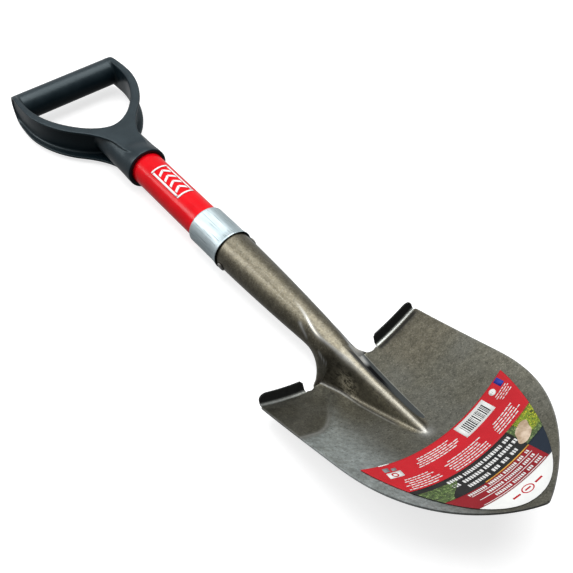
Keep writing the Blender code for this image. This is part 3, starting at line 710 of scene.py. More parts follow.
def blade_strip(y, count):
    """Half the middle strip with the frog, samples closer together over the rounded parts."""
    profile = frog_profile(y)
    x_crest, x_flank, x_foot = profile[3:]
    edge = strip_half_width(y)
    x_foot = clamp(x_foot, 0.5 * edge, 0.92 * edge)
    x_crest = clamp(x_crest, 0.2 * x_foot, 0.5 * x_foot)
    x_flank = clamp(x_flank, mix(x_crest, x_foot, 0.2), mix(x_crest, x_foot, 0.75))
    stops = (0.0, x_crest, x_flank, x_foot, edge)
    marks = (0.0, 0.25, 0.44, 0.72, 1.0)
    xs = np.interp(np.linspace(0.0, 1.0, count + 1), marks, stops)
    return [(x, y, blade_z(x, y) + frog_height(x, profile)) for x in xs]


def seam_angle(y):
    start = NECK_END_Y - NECK_SEAM_LEAD
    t = smoothstep((y - start) / (SEAM_CLOSED_Y - start))
    return mix(SEAM_OPEN_ANGLE, SEAM_ANGLE, t)


def socket_strip(y, count):
    radius = socket_radius(y)
    sweep = math.pi / 2.0 + seam_angle(y)
    angles = [math.pi / 2.0 - sweep * i / count for i in range(count + 1)]
    return [(radius * math.cos(a), y, radius * math.sin(a)) for a in angles]


def neck_strip(y, count):
    t = ((NECK_END_Y - y) / (NECK_END_Y - HEEL_Y)) ** NECK_POWER
    low = blade_strip(HEEL_Y, count)
    drop = crest_z(HEEL_Y) - socket_radius(y)
    sag = crest_z(y) - socket_radius(y) - t * t * drop
    points = []
    for k, ((ax, _, az), (bx, _, bz)) in enumerate(zip(socket_strip(y, count), low)):
        lower = sag * smoothstep(1.0 - k / (CREST_SAG_SHARE * count))
        points.append((mix(ax, bx, t), y, mix(az, bz - drop * (1.0 - t), t) + lower))
    return points


def fold_y(x):
    base = HEEL_Y + FOLD_RISE * (blade_z(x, HEEL_Y) - blade_z(STEP_INNER_X, HEEL_Y))
    if x < STEP_INNER_X:
        t = (x - NOTCH_INNER_X) / (STEP_INNER_X - NOTCH_INNER_X)
        return mix(HEEL_Y, base, t) - NOTCH_DEPTH * 4.0 * t * (1.0 - t)
    return base


def wing_row(y, shares):
    inner = strip_half_width(y)
    outer = blade_half_width(y)
    points = []
    for share in shares:
        x = mix(inner, outer, share)
        x_heel = mix(NOTCH_INNER_X, STEP_OUTER_X, share)
        shift = (fold_y(x_heel) - HEEL_Y) * (y / HEEL_Y) ** 6
        corner = max(0.0, (y - SHOULDER_START_Y) / (HEEL_Y - SHOULDER_START_Y))
        x -= (BLADE_HALF_WIDTH - STEP_OUTER_X) * share * corner ** 2
        points.append((x, y + shift, blade_z(x, y + shift)))
    return points


def step_height(x):
    t = max(0.0, (x - STEP_OUTER_X + STEP_CORNER) / STEP_CORNER)
    low = STEP_BEND + STEP_CORNER_LOW
    inner = max(0.0, (STEP_INNER_X + STEP_INNER_CORNER - x) / STEP_INNER_CORNER)
    drop = STEP_INNER_CORNER * (1.0 - math.sqrt(max(0.0, 1.0 - inner * inner)))
    return low + (STEP_HEIGHT - low) * math.sqrt(max(0.0, 1.0 - t * t)) - drop


def step_points(x, bends, rises):
    """Section of a turned step: quarter bend, then a flat upstand."""
    size = math.hypot(1.0, STEP_LEAN)
    along = (1.0 / size, -STEP_LEAN / size)
    upward = (STEP_LEAN / size, 1.0 / size)
    y0 = fold_y(x)
    z0 = blade_z(x, y0)
    points = []
    for i in range(1, bends + 1):
        angle = math.pi / 2.0 * i / bends
        a = STEP_BEND * (math.sin(angle) - 1.0)
        b = STEP_BEND * (1.0 - math.cos(angle))
        points.append((x, y0 + a * along[0] + b * upward[0], z0 + a * along[1] + b * upward[1]))
    for i in range(1, rises + 1):
        rise = mix(STEP_BEND, step_height(x), i / rises)
        points.append((x, y0 + rise * upward[0], z0 + rise * upward[1]))
    return points


def streak(x, y):
    """Bright line that runs from the socket over the neck to the crest of the frog.

    Like the other lines and patches below, it stands in for a reflection in the photograph.
    """
    width = mix(2.2, 1.1, rise(y, 196.0, 20.0))
    along = clamp((y - STREAK_FROM) / 100.0, 0.0, 1.0)
    drift = (0.3 + STREAK_DRIFT * along ** 1.5) * (1.0 - rise(y, 208.0, 110.0))
    bulge = STREAK_BULGE * peak(y, STREAK_BEND, 20.0)
    glow = 0.35 + 0.7 * rise(y, 180.0, 28.0) + 0.95 * peak(y, 240.0, 12.0)
    return glow * (1.0 - rise(y, 244.0, 30.0)) * peak(x, -drift - bulge, width)


def blade_marks(point):
    """Warm tone, oxidised dark and painted shade, wear and painted highlights, painted shade,
    painted highlights and a painted bluish reflection at a point of the blade.
    """
    x, y = point[:2]
    side = abs(x)
    profile = frog_profile(min(y, HEEL_Y))
    x_foot = max(1.0, profile[5])
    raised = 1.0 if profile[0] > 0.3 else 0.0
    on_frog = raised * fall(side, x_foot + 1.0, 3.0)
    share = side / x_foot
    run = rise(y, FLANK_FROM, 12.0)

    flank = rise(share, mix(0.50, 0.28, rise(y, 130.0, 50.0)), 0.14) * fall(share, 1.02, 0.10)
    oxide_and_shade = raised * flank * run * mix(0.50, 0.90, rise(y, 165.0, 32.0))
    # A little painted highlight on the crest; the patch is scratched wear.
    crest = raised * fall(share, 0.34, 0.2)
    patch = peak(x, PATCH_AT[0], 3.0) * peak(y, PATCH_AT[1], 10.0)
    worn_and_highlight = max(crest * 0.12, 0.95 * patch, 0.10 * oxide_and_shade)

    # Painted shade below the fold of each step, along the left foot of the frog and over its far
    # flank, with a painted highlight line along the left foot.
    fold = (0.9 if x > 0 else 0.35) * peak(y, fold_y(side) - FOLD_SHADE, 2.5)
    fold *= rise(side, 36.0, 5.0) * fall(side, 84.0, 5.0)
    inset = side - x_foot + 0.3 + 2.4 * rise(y, 162.0, 30.0)
    on_left = run if x < 0 else 0.0
    foot_highlight = peak(inset, 0.3, 0.6) * on_left
    foot_shade = peak(inset, -1.2, 0.6) * on_left
    top = mix(206.0, 196.0, rise(x, 4.0, 3.0))
    far_flank = raised * rise(x, 1.2, 1.6) * fall(x, x_foot, 4.0)
    far_flank *= rise(y, 146.0, 26.0) * fall(y, top, 4.0)
    shade = max(fold, 0.75 * foot_shade, 0.92 * far_flank)

    # Painted highlights: a glint at the heel, a spot at the nose, a line along the blade's outer
    # edge, a line over the left of the blade, on the crest and the streak.
    heel_glint = rise(x, HEEL_GLINT[0], 3.0) * rise(y, HEEL_GLINT[1], 8.0) * on_frog
    nose = peak(y, FROG_TIP_Y + 1.5, 5.0) * peak(x, 0.0, 5.0)
    rim_highlight = 0.6 * fall(blade_half_width(y) - side, 0.8, 0.8)
    ridge_y = RIDGE_Y + RIDGE_CURVE * max(0.0, x - RIDGE_X) ** 2
    ridge_highlight = 1.25 * peak(y, ridge_y, 1.7) * fall(x, -30.0, 30.0)
    line = raised * streak(x, y)
    edge = max(rim_highlight, nose, 0.7 * foot_highlight, ridge_highlight, 0.12 * crest, 1.2 * heel_glint, line)

    # A darker patch at the left shoulder, a painted bluish reflection low on the left and a warmer
    # tone on the right.
    shoulder = peak(x, SHOULDER_AT[0], 16.0) * peak(y, SHOULDER_AT[1], 12.0)
    cool_reflection = fall(x, -25.0, 48.0) * fall(y, ridge_y + 2.0, 8.0)
    gold = 0.65 * rise(x, 24.0, 26.0) * rise(y, 148.0, 26.0)
    warm = max(on_frog - 0.8 * heel_glint, gold)
    return warm, max(oxide_and_shade, 0.34 * shoulder), worn_and_highlight, shade, edge, max(cool_reflection, heel_glint)


def socket_marks(point):
    """The same for neck and socket, by the angle from the top of the socket."""
    x, y, z = point
    angle = math.degrees(math.atan2(x, max(0.1, z + 3.0 * fall(y, 250.0, 40.0))))
    # The left side is painted darker as shade, less so under a painted highlight at the left edge
    # of the neck; the right side gets a painted bluish reflection.
    left = fall(angle, -50.0, 22.0)
    right = rise(angle, 34.0, 24.0)
    rim_highlight = fall(x, -14.0, 2.5) * fall(y, 240.0, 8.0)
    oxide_and_shade = max(0.08 * left, 0.66 * left * fall(y, 240.0, 28.0)) * (1.0 - 0.75 * rim_highlight)
    # A painted highlight band a little left of the top.
    low = fall(y, 262.0, 50.0)
    worn_and_highlight = mix(0.30, 0.24, low) * peak(angle, mix(-26.0, -6.0, low), 15.0)

    # Painted glints and streaks: at the foot of the neck on the right, beside the neck and in a
    # wedge on the left, along the streak and at the left edge.
    foot = 1.3 * peak(y, NECK_GLINT_Y, 8.0) * rise(angle, 40.0, 15.0)
    start, end = SIDE_STREAK_Y
    beside = peak(angle, -46.0 - 1.8 * (end - 2.0 - y), 6.0)
    beside *= fall(y, end, 4.0) * rise(y, start, 4.0)
    start, end = WEDGE_Y
    wedge = peak(z, 1.2 - 0.54 * (end - 2.0 - y), 0.8) * fall(y, end, 3.0) * rise(y, start, 3.0)
    wedge *= x < 0
    line = streak(x, y) if z > 0 else 0.0
    glint = max(foot, line, 1.3 * beside, 1.4 * wedge, 0.3 * rim_highlight)
    return 1.0 - 0.7 * right, max(oxide_and_shade, 0.04), 0.22 * worn_and_highlight, 0.0, glint, 0.8 * right


class Skin:
    """A sheet that grows row by row, with the marks of each point."""

    def __init__(self):
        self.points = []
        self.faces = []
        self.marks = []

    def row(self, spots, marks_of):
        start = len(self.points)
        self.points.extend(spots)
        self.marks.extend(marks_of(spot) for spot in spots)
        return list(range(start, len(self.points)))

    def join(self, first, second):
        for k in range(len(first) - 1):
            self.faces.append((first[k], first[k + 1], second[k + 1], second[k]))


def both_sides(half):
    return [(-x, y, z) for x, y, z in reversed(half[1:])] + half


def wing_shares():
    """Places of the wing's points across the blade, the first few over the notch."""
    notch = (STEP_INNER_X - NOTCH_INNER_X) / (STEP_OUTER_X - NOTCH_INNER_X)
    shares = [notch * k / NOTCH_COUNT for k in range(1, NOTCH_COUNT + 1)]
    rest = WING_COUNT - NOTCH_COUNT
    return shares + [mix(notch, 1.0, 1.0 - (1.0 - (k + 1) / rest) ** 1.35) for k in range(rest)]


def grow_blade(skin, shares):
    """The blade from its point to the bends of the steps; returns its last row."""
    rows = [mix(POINT_START_Y, POINT_LENGTH, (i / POINT_ROWS) ** 1.5) for i in range(POINT_ROWS)]
    end = HEEL_Y - STEP_BEND
    rows += [mix(POINT_LENGTH, end, 1.0 - (1.0 - i / BLADE_ROWS) ** 1.3)
             for i in range(BLADE_ROWS + 1)]
    previous = None
    for y in rows:
        half = blade_strip(y, STRIP_COUNT) + wing_row(y, shares)
        row = skin.row(both_sides(half), blade_marks)
        if previous:
            skin.join(previous, row)
        previous = row
    return previous


def grow_step(skin, sign, lower, corner, steps):
    """One turned step; corner holds the two points where it meets the middle of the heel."""
    for level in range(BEND_LEVELS + RISE_LEVELS):
        half = [(sign * p[level][0], p[level][1], p[level][2]) for p in steps]
        upper = skin.row(half[::-1] if sign < 0 else half, blade_marks)
        # Painted highlight along the fold; painted shade and a painted bluish reflection on the
        # upstand above it.
        bright = peak(level, 1.5, 1.6)
        dark = rise(level, 2.5, 3.0)
        for k in upper:
            edge = max(0.8 * bright, 0.4 * skin.marks[k][4])
            skin.marks[k] = (0.2, 0.3 * dark, 0.15 * bright, 0.94 * dark, edge, 0.6)
        skin.join(lower, upper)
        if level == 0:
            near = -1 if sign < 0 else 0
            quad = (lower[near], *corner, upper[near])
            skin.faces.append(quad if sign < 0 else quad[::-1])
        lower = upper


def grow_neck(skin, previous):
    """Neck and socket, up from the middle of the heel."""
    rows = [mix(HEEL_Y, NECK_END_Y, (i / 34) ** 1.3) for i in range(1, 35)]
    rows += [mix(NECK_END_Y, SEAM_CLOSED_Y, i / 14) for i in range(1, 15)]
    rows += [mix(SEAM_CLOSED_Y, SOCKET_END_Y, i / 22) for i in range(1, 23)]
    for y in rows:
        strip = neck_strip if y < NECK_END_Y else socket_strip
        row = skin.row(both_sides(strip(y, STRIP_COUNT)), socket_marks)
        skin.join(previous, row)
        previous = row


def head_skin():
    """Front skin of the whole stamping."""
    skin = Skin()
    shares = wing_shares()
    last = grow_blade(skin, shares)
    inner = NOTCH_COUNT - 1
    heel = blade_strip(HEEL_Y, STRIP_COUNT) + wing_row(HEEL_Y, shares)[:inner]
    middle = skin.row(both_sides(heel), blade_marks)
    side = (len(last) - len(middle)) // 2
    skin.join(last[side:-side], middle)
    steps = [step_points(mix(NOTCH_INNER_X, STEP_OUTER_X, share), BEND_LEVELS, RISE_LEVELS)
             for share in shares[inner:]]
    grow_step(skin, -1, last[:side], (last[side], middle[0]), steps)
    grow_step(skin, 1, last[-side:], (last[-side - 1], middle[-1]), steps)
    grow_neck(skin, middle[inner:-inner])
    return skin


def make_head():
    skin = head_skin()
    head = piece("shovel_head_stamping", skin.points, skin.faces, head_look())
    for k, name in enumerate(BLADE_MARKS):
        layer = head.data.attributes.new(name, "FLOAT", "POINT")
        layer.data.foreach_set("value", [m[k] for m in skin.marks])
    thicken(head, SHEET)
    bevel = head.modifiers.new("edges", "BEVEL")
    bevel.width = 0.28 * MM
    bevel.segments = 2
    bevel.limit_method = "ANGLE"
    bevel.angle_limit = math.radians(55.0)
    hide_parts("shovel_head")


# ---------------------------------------------------------------- handle

def make_ferrule():
    outer, top = FERRULE_RADIUS, FERRULE_TOP_Y
    wall, flare = FERRULE_WALL, FERRULE_FLARE
    lip = TUBE_RADIUS + 0.3
    mouth = outer + flare
    profile = [(mouth - wall, FERRULE_Y + 0.3), (mouth - wall * 0.7, FERRULE_Y + 0.05)]
    profile += [(mouth - wall * 0.35, FERRULE_Y), (mouth, FERRULE_Y + 0.3)]
    profile += [(outer + flare * (1.0 - k / 6) ** 2, FERRULE_Y + 0.3 + 1.6 * k)
                for k in range(1, 7)]
    profile += [(outer, mix(FERRULE_Y + 12.0, top - 2.2, k / 10)) for k in range(11)]
    profile += arc(2.0, (outer - 2.0, top - 2.0), 0.0, 90.0, 10)
    profile += [(lip + 0.2, top), (lip, top - 0.25), (lip + 0.3, top - 0.6)]
    profile += arc(1.4, (outer - 2.0, top - 2.0), 90.0, 0.0, 6)
    profile += [(outer - wall, top - 6.0), (outer - wall, FERRULE_Y + 9.0)]
    profile += [(outer - wall + flare * 0.5, FERRULE_Y + 4.0)]

    def dented(radius, y, angle):
        """Pressed on by hand: slightly out of round, with an uneven lower edge."""
        free = smoothstep((top - 3.0 - y) / 12.0)
        dent = 0.08 * math.sin(3.0 * angle + 0.7) + 0.05 * math.sin(7.0 * angle + y * 0.11)
        shift = 0.25 * math.sin(2.0 * angle + 1.2) * smoothstep((FERRULE_Y + 4.0 - y) / 4.0)
        return radius + (dent - 0.02) * free, y + shift

    ferrule = turned("ferrule_band", profile, zinc_look(), wobble=dented)
    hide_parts("ferrule")


def make_tube():
    spigot = SOCKET_RADIUS - SHEET - 0.55
    inner = 12.0
    shoulder = SOCKET_END_Y + 1.5
    profile = [(inner, TUBE_END_Y), (inner, FERRULE_Y)]
    profile += [(spigot, FERRULE_Y), (spigot, SOCKET_END_Y + 0.5), (TUBE_RADIUS, shoulder)]
    profile += [(TUBE_RADIUS, mix(shoulder, TUBE_TAPER_Y, k / 24)) for k in range(1, 25)]
    profile += [(TUBE_RADIUS - TUBE_TAPER, TUBE_END_Y)]
    tube = turned("handle_tube_outer", profile, tube_look(), segments=144)
    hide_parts("handle_tube")


def make_rivet():
    """A cross rivet with a hammered head on each side of the socket."""
    seat = socket_radius(RIVET_Y) + RIVET_SEAT - 0.35
    points = []
    faces = []
    segments, rings = 40, 9
    tilt = Matrix.Rotation(RIVET_TILT, 4, "Y")
    stations = []
    for k in range(rings + 1):
        a = math.pi / 2.0 * k / rings
        dome = RIVET_HEAD_HEIGHT * math.sin(a) * 0.98
        stations.append((RIVET_HEAD_RADIUS * math.cos(a), seat + dome))
    half = [(RIVET_RADIUS, seat - 0.2), (RIVET_HEAD_RADIUS - 0.15, seat - 0.15)] + stations[:-1]
    profile = [(r, -x) for r, x in reversed(half)] + half
    for radius, x in profile:
        for i in range(segments):
            a = 2.0 * math.pi * i / segments
            hammer = 1.0 + 0.02 * math.sin(5.0 * a) * (abs(x) > seat)
            spot = tilt @ Vector((x, radius * hammer * math.cos(a), radius * hammer * math.sin(a)))
            points.append((spot.x, RIVET_Y + spot.y, spot.z))
    for k in range(len(profile) - 1):
        for i in range(segments):
            j = (i + 1) % segments
            a, b = k * segments, (k + 1) * segments
            faces.append((a + i, a + j, b + j, b + i))
    for base in (0, (len(profile) - 1) * segments):
        faces.append(tuple(base + i for i in range(segments)))
    rivet = piece("socket_rivet_domed", points, faces, rivet_look(),
                  sharp=50.0, outward=True)
    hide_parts("socket_rivet")


# ---------------------------------------------------------------- D-grip

def grip_outline(steps=GRIP_CURVE):
    """Outer outline of the grip, both halves."""
    end = (GRIP_END[0], GRIP_END[1] + 8.0)
    above_side = (GRIP_SIDE[0], GRIP_SIDE[1] + 16.0)
    below_side = (GRIP_SIDE[0], GRIP_SIDE[1] - 24.0)
    before_bend = (GRIP_BEND[0] + 15.0, GRIP_BEND[1] + 16.0)
    after_bend = (GRIP_BEND[0] - 12.2, GRIP_BEND[1] - 13.0)
    before_neck = (GRIP_NECK[0] + 1.0, GRIP_NECK[1] + 11.5)
    half = bezier(end, (GRIP_END[0] + 3.8, GRIP_END[1] - 8.0), above_side, GRIP_SIDE, steps)
    half += bezier(GRIP_SIDE, below_side, before_bend, GRIP_BEND, steps)
    half += bezier(GRIP_BEND, after_bend, before_neck, GRIP_NECK, steps)
    half += bezier(GRIP_NECK, (GRIP_NECK[0] - 0.6, GRIP_NECK[1] - 6.0), GRIP_FOOT, GRIP_HOOK, 12)
    half += [GRIP_HOOK, (GRIP_HOOK[0] - 1.5, GRIP_HOOK[1] - 4.0)]
    return half + [(-x, y) for x, y in reversed(half)]


def opening_half(steps=GRIP_CURVE):
    foot = (0.0, OPENING_BOTTOM_Y)
    before_bend = (OPENING_BEND[0] - 6.6, OPENING_BEND[1] - 7.4)
    after_bend = (OPENING_BEND[0] + 16.5, OPENING_BEND[1] + 18.6)
    below_side = (OPENING_SIDE[0] + 0.3, OPENING_SIDE[1] - 26.8)
    half = bezier(foot, (10.0, OPENING_BOTTOM_Y), before_bend, OPENING_BEND, steps)
    half += bezier(OPENING_BEND, after_bend, below_side, OPENING_SIDE, steps)
    return half + [OPENING_SIDE, (OPENING_SIDE[0] - 1.0, LENGTH + 40.0)]


def polygon_distance(px, py, outline):
    """Signed distance to a closed outline, negative inside."""
    nearest = np.full(px.shape, np.inf)
    inside = np.zeros(px.shape, bool)
    for (ax, ay), (bx, by) in zip(outline, outline[1:] + outline[:1]):
        ex, ey = bx - ax, by - ay
        if ex == 0.0 and ey == 0.0:
            continue
        wx, wy = px - ax, py - ay
        t = np.clip((wx * ex + wy * ey) / (ex * ex + ey * ey), 0.0, 1.0)
        nearest = np.minimum(nearest, (wx - ex * t) ** 2 + (wy - ey * t) ** 2)
        if ey != 0.0:
            inside ^= ((ay <= py) != (by <= py)) & (wx < ex * wy / ey)
    return np.where(inside, -1.0, 1.0) * np.sqrt(nearest)


def overlap(a, b, radius):
    """Common part of two fields, its new edges rounded."""
    corner = np.hypot(np.maximum(radius + a, 0.0), np.maximum(radius + b, 0.0))
    return np.minimum(-radius, np.maximum(a, b)) + corner


def union(a, b, radius):
    """Both fields together, with a fillet where they meet."""
    corner = np.hypot(np.maximum(radius - a, 0.0), np.maximum(radius - b, 0.0))
    return np.maximum(radius, np.minimum(a, b)) - corner


def grip_field(x, y, z):
    """Distance field of the moulded grip on open grids x, y and z."""
    flat_x, flat_y = np.meshgrid(x.ravel(), y.ravel(), indexing="ij")
    outline = polygon_distance(flat_x, flat_y, grip_outline())[:, :, None]
    opening = opening_half()
    hole = opening + [(-a, b) for a, b in reversed(opening[1:])]
    clear = polygon_distance(flat_x, flat_y, hole)[:, :, None]
    half = GRIP_DEPTH / 2.0
    centre = GRIP_END[1] - half
    beyond = np.maximum(y - centre, 0.0)
    ramp = grid_smoothstep((COLLAR_RAMP_END - y) / (COLLAR_RAMP_END - COLLAR_STRAIGHT_END))
    crown = np.sqrt(np.maximum((COLLAR_RADIUS - 0.3) ** 2 - x ** 2, half ** 2)) - half
    slab = np.hypot(beyond, z) - half - ramp * crown
    body = overlap(outline, slab, 0.6)
    body = overlap(body, -clear, 3.2)

    inner = np.hypot(beyond, z) - (half - GRIP_FLANGE)
    side = np.maximum(RECESS_INNER_X - np.abs(x), y - RECESS_STRAIGHT_Y)
    behind_web = np.maximum(GRIP_WEB - clear, RECESS_INNER_X - np.abs(x))
    recess = overlap(np.minimum(behind_web, side), inner, 2.2)
    recess = overlap(recess, RECESS_START_Y - y, 2.0)
    body = overlap(body, -recess, 0.5)

    bar = np.maximum(np.hypot(y - BAR_Y, z) - BAR_RADIUS, np.abs(x) - OPENING_SIDE[0])
    body = union(body, bar, 2.6)

    draft = SLEEVE_DRAFT * np.clip((y - COLLAR_Y) / 70.0, 0.0, 1.0)
    rounding = grid_smoothstep((SLEEVE_ROUND_START - y) / (SLEEVE_ROUND_START - SLEEVE_ROUND_END))
    wide = COLLAR_RADIUS - draft
    deep = SLEEVE_DEPTH + (COLLAR_RADIUS - SLEEVE_DEPTH) * rounding
    sleeve = (np.sqrt((x / wide) ** 2 + (z / deep) ** 2) - 1.0) * deep
    sleeve = overlap(sleeve, np.abs(z) - half + 0.9 - 5.5 * ramp, 0.8)
    sleeve = overlap(sleeve, 1.6 - clear, 0.5)
    sleeve = overlap(sleeve, COLLAR_Y - y, COLLAR_RIM)
    body = union(body, sleeve, 0.6)

    taper = np.clip((y - TUBE_TAPER_Y) / (TUBE_END_Y - TUBE_TAPER_Y), 0.0, 1.0)
    bore = np.hypot(x, z) - (TUBE_RADIUS + TUBE_GAP - TUBE_TAPER * taper)
    bore = np.maximum(bore, y - TUBE_END_Y - TUBE_GAP)
    return overlap(body, -bore, 0.9)


def sample(grid, spots):
    """Trilinear value of a grid at fractional positions."""
    top = np.array(grid.shape) - 2
    low = np.clip(np.floor(spots).astype(int), 0, top)
    t = spots - low
    value = np.zeros(len(spots))
    for a in (0, 1):
        for b in (0, 1):
            for c in (0, 1):
                weight = (t[:, 0] if a else 1 - t[:, 0]) * (t[:, 1] if b else 1 - t[:, 1])
                weight = weight * (t[:, 2] if c else 1 - t[:, 2])
                value += weight * grid[low[:, 0] + a, low[:, 1] + b, low[:, 2] + c]
    return value


def surface_net(field):
    """Vertices (in grid steps) and quads over the zero level of a sampled field."""
    inside = field < 0.0
    cells = tuple(n - 1 for n in field.shape)
    total = np.zeros(cells + (3,))
    count = np.zeros(cells)
    crossings = []
    for axis in range(3):
        first = [slice(None)] * 3
        second = [slice(None)] * 3
        first[axis] = slice(0, -1)
        second[axis] = slice(1, None)
        f0, f1 = field[tuple(first)], field[tuple(second)]
        i0, i1 = inside[tuple(first)], inside[tuple(second)]
        cross = i0 != i1
        crossings.append((cross, i0))
        share = np.where(cross, f0 / np.where(cross, f0 - f1, 1.0), 0.0)
        places = [np.arange(n, dtype=float) for n in share.shape]
        spot = np.stack(np.meshgrid(*places, indexing="ij"), axis=-1)
        spot[..., axis] += share
        spot *= cross[..., None]
        others = [k for k in range(3) if k != axis]
        for da in (0, 1):
            for db in (0, 1):
                cut = [slice(None)] * 3
                cut[others[0]] = slice(da, share.shape[others[0]] - 1 + da)
                cut[others[1]] = slice(db, share.shape[others[1]] - 1 + db)
                total += spot[tuple(cut)]
                count += cross[tuple(cut)]
    used = count > 0
    index = np.full(cells, -1)
    index[used] = np.arange(int(used.sum()))
    vertices = total[used] / count[used][:, None]
    quads = []
    for axis, (cross, starts_inside) in enumerate(crossings):
        a, b = [k for k in range(3) if k != axis]
        where = np.argwhere(cross)
        keep = (where[:, a] > 0) & (where[:, b] > 0)
        keep &= (where[:, a] < field.shape[a] - 1) & (where[:, b] < field.shape[b] - 1)
        where = where[keep]
        corners = []
        for da, db in ((-1, -1), (0, -1), (0, 0), (-1, 0)):
            near = where.copy()
            near[:, a] += da
            near[:, b] += db
            corners.append(index[near[:, 0], near[:, 1], near[:, 2]])
        quad = np.stack(corners, axis=1)
        flip = ~starts_inside[where[:, 0], where[:, 1], where[:, 2]]
        if axis == 1:
            flip = ~flip
        quad[flip] = quad[flip][:, ::-1]
        quads.append(quad)
    return vertices, np.concatenate(quads)


def make_grip():
    step = GRIP_STEP
    x = np.arange(-65.0, 65.0 + step, step)[:, None, None]
    y = np.arange(500.0, 689.0 + step, step)[None, :, None]
    z = np.arange(-24.0, 24.0 + step, step)[None, None, :]
    field = grip_field(x, y, z)
    vertices, quads = surface_net(field)
    slopes = np.gradient(field)
    for _ in range(3):
        value = sample(field, vertices)
        slope = np.stack([sample(s, vertices) for s in slopes], axis=1)
        size = np.maximum((slope ** 2).sum(axis=1), 0.2 * step * step)
        vertices -= np.clip((value / size)[:, None] * slope, -0.4, 0.4)
    points = vertices * step + np.array([x[0, 0, 0], y[0, 0, 0], z[0, 0, 0]])
    grip = piece("d_grip_moulding", points.tolist(), quads.tolist(), grip_look())
    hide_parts("d_grip")


# ---------------------------------------------------------------- printed label and tube mark

def label_half_width(y):
    s = clamp((y - LABEL_END_Y) / LABEL_LENGTH, 0.0, 1.0)
    return LABEL_HALF_WIDTH * (1.0 - (1.0 - s) ** 1.28) ** 0.48


def label_limit(v):
    """Half width of the label along a printed line, which bows towards the shoulders."""
    low, high = 0.0, LABEL_HALF_WIDTH
    for _ in range(30):
        x = (low + high) / 2.0
        if label_half_width(v + LABEL_BOW * x * x) > x:
            low = x
        else:
            high = x
    return low


def label_point(x, v, lift):
    """A point over the front of the blade, square to its surface."""
    y = v + LABEL_BOW * x * x
    slope_x = blade_z(x + 0.5, y) - blade_z(x - 0.5, y)
    slope_y = blade_z(x, y + 0.5) - blade_z(x, y - 0.5)
    share = lift / math.sqrt(1.0 + slope_x ** 2 + slope_y ** 2)
    return x - share * slope_x, y - share * slope_y, blade_z(x, y) + share


def label_sheet(name, region, look, lift=LABEL_LIFT, thickness=PAPER):
    """A printed area: region gives (v, left x, right x) lines from the point upwards."""
    points = []
    faces = []
    columns = LABEL_COLUMNS
    for v, left, right in region:
        for k in range(columns + 1):
            points.append(label_point(mix(left, right, k / columns), v, lift))
    for i in range(len(region) - 1):
        for k in range(columns):
            a = i * (columns + 1) + k
            faces.append((a, a + 1, a + columns + 2, a + columns + 1))
    sheet = piece(name, points, faces, look)
    thicken(sheet, thickness)
    return sheet


def label_region(low, high, steps, left=-100.0, right=100.0):
    region = []
    for i in range(steps + 1):
        v = mix(low, high, i / steps)
        limit = label_limit(v)
        region.append((v, max(left, -limit), min(right, limit)))
    return region


def ink_patches(name, patches, look, lift):
    """Flat printed patches, each (left, right, low v, high v, slant), as one thin piece."""
    points = []
    faces = []
    for left, right, low, high, slant in patches:
        columns = max(1, int((right - left) / 2.5))
        start = len(points)
        for k in range(columns + 1):
            x = mix(left, right, k / columns)
            points.append(label_point(x, low, lift))
            points.append(label_point(x + slant, high, lift))
        for k in range(columns):
            a = start + 2 * k
            faces.append((a, a + 2, a + 3, a + 1))
    thicken(piece(name, points, faces, look), INK)


def dashes(rng, left, right, low, high, shortest, longest, gap):
    """A row of plain dashes of uneven length."""
    row = []
    x = left
    while x < right - shortest:
        end = min(right, x + rng.uniform(shortest, longest))
        row.append((x, end, low, high, 0.0))
        x = end + gap
    return row


def word_rows(rng, left, right, low, high, shortest, longest, gap):
    """A row of plain blocks in groups, as printed words look from afar."""
    row = []
    x = left
    while x < right - longest:
        end = min(right, x + rng.randint(3, 8) * (longest + gap))
        row += dashes(rng, x, end, low, high, shortest, longest, gap)
        x = end + 1.6
    return row


def rules(rng, left, right, top, count, pitch, height, ragged):
    """Lines of small plain dashes, each line of a slightly different length."""
    patches = []
    for i in range(count):
        low = top - i * pitch
        start = left + rng.uniform(0.0, ragged)
        end = right - rng.uniform(0.0, ragged)
        patches += dashes(rng, start, end, low - height, low, 1.8, 5.5, 0.55)
    return patches


def ring_patch(name, centre, outer, inner, look, lift, squash=1.0):
    """A printed ring, or a disc when its inner radius is 0."""
    points = []
    faces = []
    segments = 64
    for i in range(segments):
        a = 2.0 * math.pi * i / segments
        for radius in (inner, outer):
            x = centre[0] + radius * math.cos(a)
            points.append(label_point(x, centre[1] + radius * squash * math.sin(a), lift))
    for i in range(segments):
        j = (i + 1) % segments
        faces.append((2 * i, 2 * i + 1, 2 * j + 1, 2 * j))
    thicken(piece(name, points, faces, look), INK)


def label_inks():
    """One look per ink, by colour name."""
    tones = {
        "red": ((0.47, 0.008, 0.016), (0.42, 0.006, 0.013), 14.0),
        "white": ((0.72, 0.73, 0.71), (0.66, 0.67, 0.66), 14.0),
        "maroon": ((0.17, 0.005, 0.010), (0.26, 0.008, 0.014), 40.0),
        "dark": ((0.006, 0.007, 0.008), (0.016, 0.017, 0.016), 14.0),
        "navy": ((0.010, 0.018, 0.032), None, 14.0),
        "blue": ((0.02, 0.04, 0.30), None, 14.0),
        "pale": ((0.62, 0.50, 0.38), (0.36, 0.26, 0.17), 5.0),
        "grey": ((0.22, 0.23, 0.24), None, 14.0),
        "black": ((0.01, 0.01, 0.01), None, 14.0),
        "amber": ((0.66, 0.36, 0.05), (0.40, 0.16, 0.02), 8.0),
    }
    inks = {name: paper_look(f"label_{name}_ink", *tone) for name, tone in tones.items()}
    inks["leaves"] = foliage_look(
        "label_leaves", (0.03, 0.04, 0.01), (0.16, 0.24, 0.02), (0.52, 0.50, 0.03))
    inks["shade"] = foliage_look(
        "label_leaves_shade", (0.02, 0.025, 0.018), (0.06, 0.10, 0.03), (0.20, 0.28, 0.10))
    return inks


